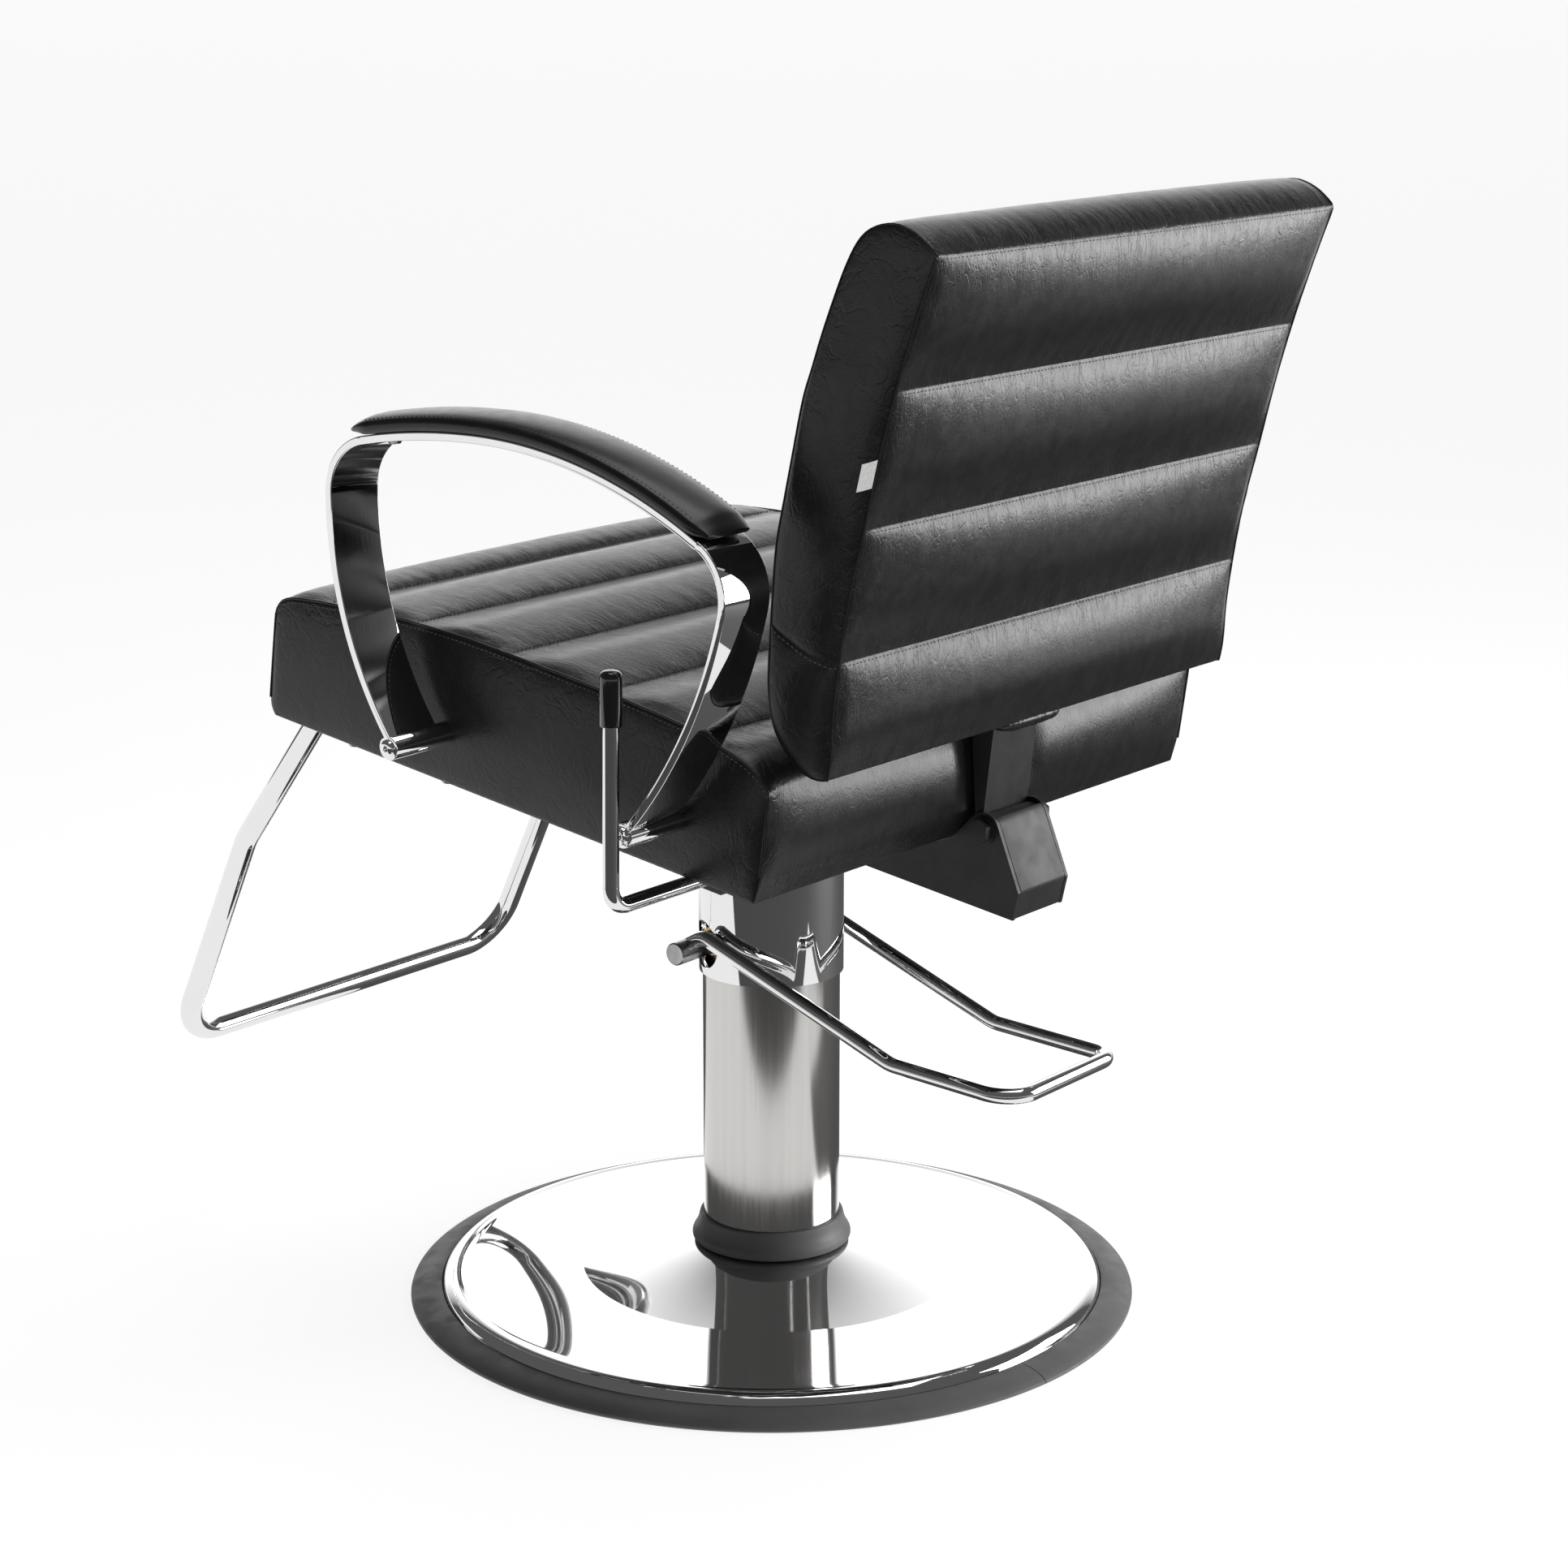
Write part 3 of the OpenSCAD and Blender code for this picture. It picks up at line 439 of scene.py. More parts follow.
# The lower tube, with a small lip at the top
TUBE_BORE_R, TUBE_FOOT_Z, TUBE_TOP_Z = TUBE_R - 2, 30, 286
tube_wall = [(TUBE_BORE_R, TUBE_FOOT_Z), (TUBE_R, TUBE_FOOT_Z), (TUBE_R, TUBE_TOP_Z - 1.4),
             (TUBE_R - 0.6, TUBE_TOP_Z - 0.4), (TUBE_BORE_R, TUBE_TOP_Z), (TUBE_BORE_R, TUBE_FOOT_Z)]
piece("column_tube", *turned(tube_wall), "satin_chrome", "base", ["outer_tube"], 30)


# ---- pedal, footrest, lever: bent round bars ----

PEDAL_R = 6.35
PEDAL_X = 70.0
PEDAL_SIDE = [(-29.0, 311.0), (-15.0, 319.0), (177.0, 249.5), (293.0, 244.5)]
pedal = [side(PEDAL_X, p) for p in PEDAL_SIDE] + [side(-PEDAL_X, p) for p in reversed(PEDAL_SIDE)]
PEDAL_BENDS = [16, 40, 28, 16, 40, 16]
piece("pedal_loop", *tube(rounded_path(pedal, PEDAL_BENDS), PEDAL_R), "chrome", "pedal", ["pump_pedal"])

FOOT_R = 9.5
FOOT_X = 203.0
FOOT_SIDE = [(-120.0, 467.5), (-308.0, 494.2), (-410.0, 364.0), (-505.8, 165.5)]
foot = [side(FOOT_X, p) for p in FOOT_SIDE] + [side(-FOOT_X, p) for p in reversed(FOOT_SIDE)]
FOOT_BENDS = [40, 60, 44, 44, 60, 40]
piece("footrest_loop", *tube(rounded_path(foot, FOOT_BENDS), FOOT_R, count=32), "chrome", "seat",
      ["footrest_tube"])

LEVER_X = 359.0
LEVER_Y = 140.5
grip_profile = [(6.0, 0.4), (7.7, 0.0), (8.2, 0.8), (8.25, 34.0), (8.1, 36.4), (7.4, 38.6), (5.6, 40.0),
                (2.8, 40.7), (0.01, 40.9)]
GRIP_Z, GRIP_LEAN = 571, math.radians(-0.9)
grip_place = Matrix.Translation((LEVER_X, LEVER_Y + 2.1, GRIP_Z)) @ Matrix.Rotation(GRIP_LEAN, 4, "X")
piece("lever_grip_sleeve", *turned(grip_profile, grip_place, 48), "black_grip", "recline_lever",
      ["lever_grip"], 60)


# ---- stitching ----


class Surface:
    """Finds places on a finished mesh, in millimetres."""

    def __init__(self, obj):
        mesh = obj.data
        self.tree = BVHTree.FromPolygons([v.co for v in mesh.vertices], [p.vertices for p in mesh.polygons])

    def nearest(self, point, lift=0.0):
        place, normal, _, _ = self.tree.find_nearest(Vector(point) * MM)
        return place / MM + normal * lift


def stitch_row(surface, line, shift, pitch=4.4, thread=0.42):
    """A row of short threads beside a seam line, each arched and ending just under the surface."""
    length = sum((b - a).length for a, b in zip(line, line[1:]))
    count = round(length / pitch)
    run = resample(line, 3 * count)
    rows = []
    for n in range(count):
        path = [surface.nearest(run[3 * n + k] + shift, lift)
                for k, lift in ((0, -0.5), (1, 0.3), (2, -0.5))]
        rows.append(sweep(path, lambda i: circle(thread, 6)))
    return joined(*rows)


# ---- arms ----

BAR_W, BAR_T = 50.0, 6.4
ARM_X = 321.0
FRONT_BOLT, REAR_BOLT = (-93.0, 517.2), (140.0, 487.6)
ARM_ARCS = [(145.6, 697, 294.6, 217, 180), (-104, 705, 45, 180, 101.1), (3, 160.3, 600, 101.1, 90),
            (3, 340.3, 420, 90, 60.4), (189, 667.5, 44.3, 60.4, -14), (-141.2, 749.8, 384.6, -14, -43)]
PAD_ARCS = [(-104, 705, 45, 112, 101.1), (3, 160.3, 600, 101.1, 90), (3, 340.3, 420, 90, 60.4),
            (189, 667.5, 44.3, 60.4, 55)]
PAD_T = 14.0
PAD_END_ROWS = 5
STANDOFF_R = 9.5
SEAT_HALF = 282.0


def pad_section(end):
    """Half of a pad's section, from the middle of its base to the middle of its crown; end 1 is full size."""
    half = [(0, 0), (18, 0.0), (25.2, 0.5), (27.4, 2.4), (28.0, 5.6), (27.6, 8.6), (26.2, 10.4), (24.9, 10.9),
            (23.6, 11.7), (19, 13.3), (11, 14.6), (0, 15.2)]
    squeeze = 0.35 + 0.65 * end
    return [(s * (0.82 + 0.18 * end), PAD_T / 2 + (u - PAD_T / 2) * squeeze) for s, u in half]


def arm(name, sign):
    x = sign * ARM_X
    path = [side(x, p) for p in arc_points(ARM_ARCS, 5)]
    section = rounded_box(BAR_W, BAR_T, 0.9)
    bar = sweep(path, lambda i: section, Vector((1, 0, 0)))
    posts = []
    for y, z in (FRONT_BOLT, REAR_BOLT):
        lip = [(4.2, 0.4), (STANDOFF_R - 1.2, 0.0), (STANDOFF_R - 0.3, 0.3), (STANDOFF_R, 1.1)]
        length = ARM_X + BAR_W / 2 - SEAT_HALF
        profile = lip + [(STANDOFF_R, length - 0.6), (STANDOFF_R - 0.9, length)]
        posts.append(turned(profile, across_x(y, z, sign * (ARM_X + BAR_W / 2), -sign), 64))
    piece("arm_" + name, *joined(bar, *posts), "chrome", "seat", ["arm_frame_" + name], 25)

    heads = []
    for y, z in (FRONT_BOLT, REAR_BOLT):
        head = [(0.01, 1.0), (1.9, 1.0), (2.4, 3.0), (4.6, 2.9), (6.0, 2.2), (6.8, 0.8), (6.9, -0.8)]
        heads.append(turned(head, across_x(y, z, sign * (ARM_X + BAR_W / 2), sign), 48))
    piece("arm_bolt_heads_" + name, *joined(*heads), "chrome", "seat", ["arm_bolts_" + name], 25)

    line = resample(arc_points(PAD_ARCS, 3, BAR_T / 2), 90)
    n = len(line) - 1

    def section_at(i):
        end = min(i, n - i)
        half = pad_section(math.sin(min(end, PAD_END_ROWS) / PAD_END_ROWS * math.pi / 2))
        return half + [(-s, u) for s, u in reversed(half[1:-1])]

    spine = [side(x, p) for p in line]
    pad_points, pad_faces = sweep(spine, section_at, Vector((1, 0, 0)))
    pad = piece("arm_pad_cover_" + name, pad_points, pad_faces, "black_vinyl", "seat",
                ["arm_pad_" + name], 70)

    rows = []
    for edge in (-1, 1):
        seam_line = []
        for before, p, after in zip(spine[3:], spine[4:-4], spine[5:]):
            up = Vector((1, 0, 0)).cross(after - before).normalized()
            seam_line.append(p + Vector((edge * 24.0, 0, 0)) + up * 11.5)
        rows.append(stitch_row(Surface(pad), seam_line, Vector((0, 0, 0)), thread=0.3))
    piece("arm_pad_stitching_" + name, *joined(*rows), "black_vinyl", "seat", material=THREAD)


arm("left", 1)
arm("right", -1)


# ---- cushions ----


def channel(t):
    """A sewn channel's profile: flat beside the seam at 0, swollen, then rolling over to the seam at 1."""
    rise = 0.5 - 0.5 * math.cos(math.pi * min(1.0, t / 0.46))
    roll = max(0.0, (t - 0.38) / 0.62)
    return rise * max(0.0, 1 - roll ** 2.3) ** 0.62


class Cushion:
    """A closed box of panels between four side outlines, carried across X, with sewn seams on its grid lines.

    rear, front run up the height; bottom, top run from front to rear. Grid indices are i across, j from
    front to rear and k up.
    """

    def __init__(self, name, bottom, top, front, rear, half_w, across):
        self.name = name
        self.ni, self.nj, self.nk = across, len(top) - 1, len(front) - 1
        self.bottom, self.top, self.front, self.rear = bottom, top, front, rear
        self.index, self.points, self.faces = {}, [], []
        ni, nj, nk = self.ni, self.nj, self.nk
        for i in range(ni + 1):
            for j in range(nj + 1):
                for k in range(nk + 1):
                    if i in (0, ni) or j in (0, nj) or k in (0, nk):
                        self.index[i, j, k] = len(self.points)
                        spot = self.outline(j / nj, k / nk, j, k)
                        self.points.append(side(half_w * (2 * i / ni - 1), spot))
        v = self.index
        for a in (0, nk):
            self.faces += [(v[i, j, a], v[i + 1, j, a], v[i + 1, j + 1, a], v[i, j + 1, a])
                           for i in range(ni) for j in range(nj)]
        for a in (0, nj):
            self.faces += [(v[i, a, k], v[i + 1, a, k], v[i + 1, a, k + 1], v[i, a, k + 1])
                           for i in range(ni) for k in range(nk)]
        for a in (0, ni):
            self.faces += [(v[a, j, k], v[a, j + 1, k], v[a, j + 1, k + 1], v[a, j, k + 1])
                           for j in range(nj) for k in range(nk)]

    def outline(self, b, a, j, k):
        """The side outline's point at depth b and height a, blended from the four edges."""
        low, high, fore, aft = self.bottom[j], self.top[j], self.front[k], self.rear[k]
        corners = ((1 - a) * ((1 - b) * self.bottom[0] + b * self.bottom[-1])
                   + a * ((1 - b) * self.top[0] + b * self.top[-1]))
        return (1 - a) * low + a * high + (1 - b) * fore + b * aft - corners

    def line(self, i=None, j=None, k=None):
        """The vertices along one grid line: the index left out runs."""
        if i is None:
            return [self.index[n, j, k] for n in range(self.ni + 1)]
        if j is None:
            return [self.index[i, n, k] for n in range(self.nj + 1)]
        return [self.index[i, j, n] for n in range(self.nk + 1)]

    def puff(self, panel, cuts_u, cuts_v, height, out, profile=lambda t: (4 * t * (1 - t)) ** 0.5):
        """Raises each cell of a panel between its cuts; panel(u, v) gives a vertex and out its direction."""
        for lo_u, hi_u in zip(cuts_u, cuts_u[1:]):
            for lo_v, hi_v in zip(cuts_v, cuts_v[1:]):
                for u in range(lo_u, hi_u + 1):
                    for v in range(lo_v, hi_v + 1):
                        s, t = (u - lo_u) / (hi_u - lo_u), eased((v - lo_v) / (hi_v - lo_v))
                        rise = height * (4 * s * (1 - s)) ** 0.35 * profile(t)
                        vertex = panel(u, v)
                        self.points[vertex] = self.points[vertex] + out(u, v) * rise

    def build(self, seams, pinned):
        """Makes the mesh; seams are creased vertex lines, pinned the vertices that cloth holds still."""
        mesh = bpy.data.meshes.new(self.name)
        mesh.from_pydata([p * MM for p in self.points], [], self.faces)
        b = bmesh.new()
        b.from_mesh(mesh)
        bmesh.ops.recalc_face_normals(b, faces=b.faces)
        b.to_mesh(mesh)
        b.free()
        crease = mesh.attributes.new("crease_edge", "FLOAT", "EDGE")
        sharp = {}
        for line, amount in seams:
            for a, c in zip(line, line[1:]):
                sharp[frozenset((a, c))] = amount
        for e in mesh.edges:
            crease.data[e.index].value = sharp.get(frozenset(e.vertices), 0.0)
        self.obj = bpy.data.objects.new(self.name, mesh)
        scene.collection.objects.link(self.obj)
        self.pinned = sorted(pinned)
        near = {v for line, _ in seams for v in line}
        self.seam_points = [mesh.vertices[v].co.copy() for v in near]
        return self.obj


def simulate(cushions, pressure, cap_mm, frames=20):
    """Inflates the cushions between their pinned seams with cloth, and keeps the result in their meshes."""
    for c in cushions:
        group = c.obj.vertex_groups.new(name="pins")
        group.add(c.pinned, 1.0, "REPLACE")
        cloth = c.obj.modifiers.new("cloth", "CLOTH")
        s = cloth.settings
        s.vertex_group_mass = "pins"
        s.quality = 6
        s.mass = 0.4
        s.tension_stiffness = s.compression_stiffness = 40
        s.shear_stiffness = 20
        s.bending_stiffness = 12
        s.use_pressure = True
        s.uniform_pressure_force = pressure
        s.effector_weights.gravity = 0
        cloth.point_cache.frame_end = frames
    for f in range(1, frames + 1):
        scene.frame_set(f)
    graph = bpy.context.evaluated_depsgraph_get()
    for c in cushions:
        rest = [v.co.copy() for v in c.obj.data.vertices]
        moved = [v.co.copy() for v in c.obj.evaluated_get(graph).data.vertices]
        c.obj.modifiers.clear()
        c.obj.vertex_groups.clear()
        far = 0.0
        for v, a, b in zip(c.obj.data.vertices, rest, moved):
            d = b - a
            far = max(far, d.length)
            cap = cap_mm * MM
            if d.length > cap:
                d *= cap / d.length
            v.co = a + d
        print(c.name, "cloth moved up to", round(far / MM, 1), "mm")
    scene.frame_set(1)


def refine(c, levels, least_pull, reach_mm=26.0):
    """Subdivides a cushion, marks how strongly the seams pull at each point, and wrinkles it slightly."""
    mod = c.obj.modifiers.new("smooth", "SUBSURF")
    mod.levels = mod.render_levels = levels
    graph = bpy.context.evaluated_depsgraph_get()
    fine = bpy.data.meshes.new_from_object(c.obj.evaluated_get(graph))
    c.obj.modifiers.clear()
    old, c.obj.data = c.obj.data, fine
    bpy.data.meshes.remove(old)
    tree = KDTree(len(c.seam_points))
    for i, p in enumerate(c.seam_points):
        tree.insert(p, i)
    tree.balance()
    pull = fine.attributes.new("pull", "FLOAT", "POINT")
    normals = [v.normal.copy() for v in fine.vertices]
    for v, normal in zip(fine.vertices, normals):
        distance = tree.find(v.co)[2] / MM
        strength = math.exp(-(distance / reach_mm) ** 2)
        pull.data[v.index].value = least_pull + (1 - least_pull) * strength
        stretched = Vector((v.co.x * 90, v.co.y * 12, v.co.z * 12))
        ripple = noise.noise(stretched) * strength * min(1.0, distance / 8) * 0.4
        soft = noise.noise(v.co * 11) * 0.45 * min(1.0, distance / 25)
        v.co += normal * (ripple + soft) * MM
    fine.shade_smooth()
    fine.materials.clear()
    fine.materials.append(CREASED)


# Seat: outlines in the seat's own frame, which is pitched up to the front about the swivel axis
SEAT_Z, SEAT_PITCH = 462.8, math.radians(8.03)


def seat_side(y, z):
    c, s = math.cos(SEAT_PITCH), math.sin(SEAT_PITCH)
    return Vector((y * c + z * s, SEAT_Z - y * s + z * c))


SEAT_TOP = [(-295, 84), (-293.6, 91.5), (-289, 97.8), (-281, 101.2), (-267, 103.4), (-236, 108),
            (-171, 115.6), (-108.5, 119.3), (-44, 119.5), (53, 117.6), (127, 114), (155, 110), (185, 104),
            (203, 96), (213, 86)]
SEAT_FOOT_Z = 0.6
SEAT_CUTS = [-295, -236, -140, -44, 53, 150, 213]
SEAT_CELLS = [7, 11, 11, 11, 11, 9]


def seat_front(z):
    """The front panel's y at height z: upright, and drawn in under the seat at its foot."""
    return SEAT_TOP[0][0] + 7 * max(0.0, 1 - z / 12) ** 2


def seat_outlines():
    dense = spline([(*p, 0) for p in SEAT_TOP], 400)
    top = []
    for lo, hi, cells in zip(SEAT_CUTS, SEAT_CUTS[1:], SEAT_CELLS):
        run = [p for p in dense if lo - 1e-6 <= p.x <= hi + 1e-6]
        top += resample(run, cells, eased)[0 if not top else 1:]
    count = len(top) - 1
    first, last = seat_front(SEAT_FOOT_Z), SEAT_TOP[-1][0] - 3
    bottom = [Vector((first + (last - first) * i / count, SEAT_FOOT_Z)) for i in range(count + 1)]
    top2 = [seat_side(p.x, p.y) for p in top]
    bottom2 = [seat_side(*p) for p in bottom]
    rows = 12
    front_z = [SEAT_FOOT_Z + (SEAT_TOP[0][1] - SEAT_FOOT_Z) * (i / rows) ** 1.3 for i in range(rows + 1)]
    front = [seat_side(seat_front(z), z) for z in front_z]
    rear = [seat_side(last + 3 * min(1, i / 3), SEAT_FOOT_Z + (SEAT_TOP[-1][1] - SEAT_FOOT_Z) * i / rows)
            for i in range(rows + 1)]
    front[-1], rear[-1] = top2[0], top2[-1]
    front[0], rear[0] = bottom2[0], bottom2[-1]
    return bottom2, top2, front, rear


SEAT_PANEL_HALF = SEAT_HALF - 1.5
seat = Cushion("seat_cushion_cover", *seat_outlines(), SEAT_PANEL_HALF, 64)
seat_cuts = [0]
for cells in SEAT_CELLS:
    seat_cuts.append(seat_cuts[-1] + cells)
up = seat_side(0, 1) - seat_side(0, 0)
UP_SEAT = Vector((0, up.x, up.y))
back_dir = seat_side(1, 0) - seat_side(0, 0)
REAR_SEAT = Vector((0, back_dir.x, back_dir.y))
sv, si, sj, sk = seat.index, seat.ni, seat.nj, seat.nk


def seat_up(u, v):
    """Channels rise square to the seat; the last one leans over the rear edge."""
    lean = max(0.0, (v - seat_cuts[-2]) / (sj - seat_cuts[-2])) ** 2
    return (UP_SEAT * (1 - 0.6 * lean) + REAR_SEAT * 0.8 * lean).normalized()


seat.puff(lambda u, v: sv[u, v, sk], [0, si], seat_cuts, 10.0, seat_up, channel)
seat.puff(lambda u, v: sv[u, 0, v], [0, si], [0, sk], 9.0, lambda u, v: -REAR_SEAT)
seat.puff(lambda u, v: sv[u, sj, v], [0, si], [0, sk], 11.0, lambda u, v: REAR_SEAT)
for edge, sign in ((0, -1), (si, 1)):
    seat.puff(lambda u, v: sv[edge, u, v], [0, sj], [0, sk], 6.5, lambda u, v: Vector((sign, 0, 0)))

seat_seams = [(seat.line(j=j, k=sk), 0.95) for j in seat_cuts[:-1]]
for i in (0, si):
    seat_seams += [(seat.line(i=i, k=sk), 0.8), (seat.line(i=i, j=sj), 0.7), (seat.line(i=i, j=0), 0.7),
                   (seat.line(i=i, k=0), 0.9)]
seat_seams += [(seat.line(j=0, k=0), 0.9), (seat.line(j=sj, k=0), 0.9)]
seat_pins = {v for line, _ in seat_seams for v in line}
seat_pins |= {sv[i, j, 0] for i in range(si + 1) for j in range(sj + 1)}
seat.build(seat_seams, seat_pins)

# Back: the rear outline is an arc; its seams are level, and the front repeats them
BACK_HALF = 265.0
BACK_REAR = [(262.5, 531), (265.5, 548), (267.2, 580), (272.4, 617), (280.8, 664), (293.8, 714), (305.8, 763),
             (320.3, 812), (336.4, 860), (353.8, 906)]
REAR_SEAMS_Z = [531, 617, 714, 812, 906]
BACK_FRONT = [(211.0, 575), (208.7, 593.5), (210, 624), (212.6, 660), (216, 696), (222, 723.5), (231, 762.5),
              (240, 801), (247.5, 822), (258, 851), (274, 889), (283, 906)]
FRONT_SEAMS_Z = [575, 640, 731, 823, 906]
BACK_FOOT = [(211.0, 575), (212.5, 567), (216, 558), (222, 550), (229, 541), (237, 534.6), (247, 530.8),
             (256, 529.6), (262.5, 531)]
BACK_HEAD = [(283, 906), (291, 917), (300.6, 922.5), (311, 925.5), (322, 925.5), (333, 922), (344, 915.5),
             (353.8, 906)]
ROWS = 12


def by_height(points, levels, rows):
    """Splits an outline at the given heights, with the same number of rows between each."""
    dense = spline([(*p, 0) for p in points], 600)
    out = []
    for lo, hi in zip(levels, levels[1:]):
        run = [p for p in dense if lo - 0.4 <= p.y <= hi + 0.4]
        out += resample(run, rows, eased)[0 if not out else 1:]
    return [Vector((p.x, p.y)) for p in out]


def flat2(points):
    return [Vector((p.x, p.y)) for p in points]


back_front = by_height(BACK_FRONT, FRONT_SEAMS_Z, ROWS)
back_rear = by_height(BACK_REAR, REAR_SEAMS_Z, ROWS)
DEPTH_CELLS = 9
back_bottom = flat2(spline([(*p, 0) for p in BACK_FOOT], DEPTH_CELLS))
back_top = flat2(spline([(*p, 0) for p in BACK_HEAD], DEPTH_CELLS))
for edge, end in ((back_bottom, 0), (back_top, -1)):
    back_front[end], back_rear[end] = edge[0], edge[-1]
back = Cushion("back_cushion_cover", back_bottom, back_top, back_front, back_rear, BACK_HALF - 1.5, 60)
bv, bi, bj, bk = back.index, back.ni, back.nj, back.nk


def square_to(curve, outward):
    """Unit directions square to a side outline, on its outward side."""
    out = []
    for n in range(len(curve)):
        t = curve[min(n + 1, len(curve) - 1)] - curve[max(n - 1, 0)]
        d = Vector((0, t.y, -t.x)).normalized()
        out.append(d if d.dot(outward) > 0 else -d)
    return out


rear_out = square_to(back_rear, Vector((0, 1, 0)))
front_out = square_to(back_front, Vector((0, -1, 0)))
head_out = square_to(back_top, Vector((0, 0, 1)))
foot_out = square_to(back_bottom, Vector((0, 0, -1)))
back_cuts = [ROWS * n for n in range(5)]
back.puff(lambda u, v: bv[u, bj, v], [0, bi], back_cuts, 10.5, lambda u, v: rear_out[v], channel)
back.puff(lambda u, v: bv[u, 0, v], [0, bi], back_cuts, 9.5, lambda u, v: front_out[v], channel)
back.puff(lambda u, v: bv[u, v, bk], [0, bi], [0, bj], 3.0, lambda u, v: head_out[v])
back.puff(lambda u, v: bv[u, v, 0], [0, bi], [0, bj], 2.0, lambda u, v: foot_out[v])
for edge, sign in ((0, -1), (bi, 1)):
    back.puff(lambda u, v: bv[edge, u, v], [0, bj], [0, ROWS, bk], 4.5, lambda u, v: Vector((sign, 0, 0)))

back_seams = [(back.line(j=bj, k=k), 0.95) for k in back_cuts[1:]]
back_seams += [(back.line(j=0, k=k), 0.95) for k in back_cuts[1:4]]
back_seams += [(back.line(j=bj, k=0), 0.8)]
for i in (0, bi):
    back_seams += [(back.line(i=i, j=0), 0.8), (back.line(i=i, j=bj), 0.8), (back.line(i=i, k=bk), 0.8),
                   (back.line(i=i, k=0), 0.7), (back.line(i=i, k=ROWS), 0.6)]
back_pins = {v for line, _ in back_seams for v in line}
back.build(back_seams, back_pins)

simulate([seat, back], pressure=1.0, cap_mm=4.0)
for cushion, least_pull in ((seat, 0.4), (back, 0.1)):
    refine(cushion, 2, least_pull)

# The upright's front edge: its foot (y, z), and how far it comes forward per millimetre of height
UPRIGHT_Y, UPRIGHT_Z = 226.0, 446.0
UPRIGHT_LEAN = 5 / 81
UPRIGHT_HALF = 29.5
DENT_FLAT_HALF, DENT_HALF, DENT_CLEARANCE = UPRIGHT_HALF + 3, 66.0, 2.0


def dent_for_upright(mesh):
    """Presses the seat's rear in where the upright lies, fading out to the sides."""
    for v in mesh.vertices:
        x, y, z = v.co / MM
        t = min(1.0, max(0.0, (DENT_HALF - abs(x)) / (DENT_HALF - DENT_FLAT_HALF)))
        past = y - (UPRIGHT_Y - UPRIGHT_LEAN * (z - UPRIGHT_Z) - DENT_CLEARANCE)
        v.co.y -= max(0.0, past) * t * t * (3 - 2 * t) * MM


dent_for_upright(seat.obj.data)


# ---- rear cover: a folded sheet that rolls over the pivot ----

# All in the seat's frame
PIVOT_AT = Vector((237.42, 13.5))
ROLL_R, SHEET_T = 14.0, 1.9
COVER_FOOT_Z = -49.5
COVER_FRONT_Y = 253


def cover_outline(inset):
    """The sheet's section (y, z): outside up from the foot and over the roll, then back down inside."""
    roll = [math.radians(29.7 + 3.9 * n) for n in range(8)]

    def on_roll(a, radius):
        return PIVOT_AT + Vector((radius * math.cos(a), radius * math.sin(a)))

    foot = COVER_FOOT_Z + inset
    outside = [(COVER_FRONT_Y, foot), (273.2, foot), (274.6 - inset, foot + 0.9), (276.4 - inset, -28.6),
               (276.5 - inset, -26.4), (275.9 - inset, -24.4)]
    outside += [on_roll(a, ROLL_R - inset) for a in roll]
    inside = [on_roll(a, ROLL_R - SHEET_T + inset) for a in reversed(roll)]
    inside += [(273.5 + inset, -26.4), (272.0 + inset, foot + 2.6), (COVER_FRONT_Y, foot + 2.6)]
    return [seat_side(*p) for p in outside + inside]


# The sheet's two long edges are eased: each place across has its own inset. With its first side along Y,
# a sweep along X has its up axis along -Z.
cover_rows = [(-30.2, 0.5), (-29.8, 0.12), (-29.3, 0.0), (29.3, 0.0), (29.8, 0.12), (30.2, 0.5)]
cover_sections = [[(p.x, -p.y) for p in cover_outline(inset)] for _, inset in cover_rows]
cover_path = [Vector((x, 0, 0)) for x, _ in cover_rows]
piece("rear_cover_sheet", *sweep(cover_path, lambda i: cover_sections[i], Vector((0, 1, 0))),
      "black_powder", "seat", ["rear_cover"], 28)


# ---- seams, pocket and tag ----


def welt(surface, line, radius, closed=False):
    """A fine piped ridge along a seam line."""
    length = sum((b - a).length for a, b in zip(line, line[1:]))
    path = [surface.nearest(p, 0.25 * radius) for p in resample(line, round(length / 5))]
    return sweep(path[:-1] if closed else path, lambda i: circle(radius, 10), closed=closed)


def seam(cushion, **at):
    return [Vector(cushion.points[v]) for v in cushion.line(**at)]


def side_loop(cushion, i):
    """The seam round a side panel, from the rear foot up, over and back."""
    nj, nk = cushion.nj, cushion.nk
    return (seam(cushion, i=i, j=nj) + seam(cushion, i=i, k=nk)[-2::-1] + seam(cushion, i=i, j=0)[-2::-1]
            + seam(cushion, i=i, k=0)[1:])


seat_skin, back_skin = Surface(seat.obj), Surface(back.obj)
seat_rows = [stitch_row(seat_skin, seam(seat, j=j, k=sk), REAR_SEAT * -2.4) for j in seat_cuts[1:-1]]
seat_rows += [stitch_row(seat_skin, seam(seat, i=i, k=sk), UP_SEAT * -4) for i in (0, si)]
piece("seat_stitching", *joined(*seat_rows), "black_vinyl", "seat", material=THREAD)
seat_lines = [seam(seat, i=i, j=sj)[3:] + seam(seat, i=i, k=sk)[-2::-1] + seam(seat, i=i, j=0)[-2:2:-1]
              for i in (0, si)]
piece("seat_welts", *joined(*[welt(seat_skin, line, 1.0) for line in seat_lines]),
      "black_vinyl", "seat", material=MATERIALS["black_vinyl"])

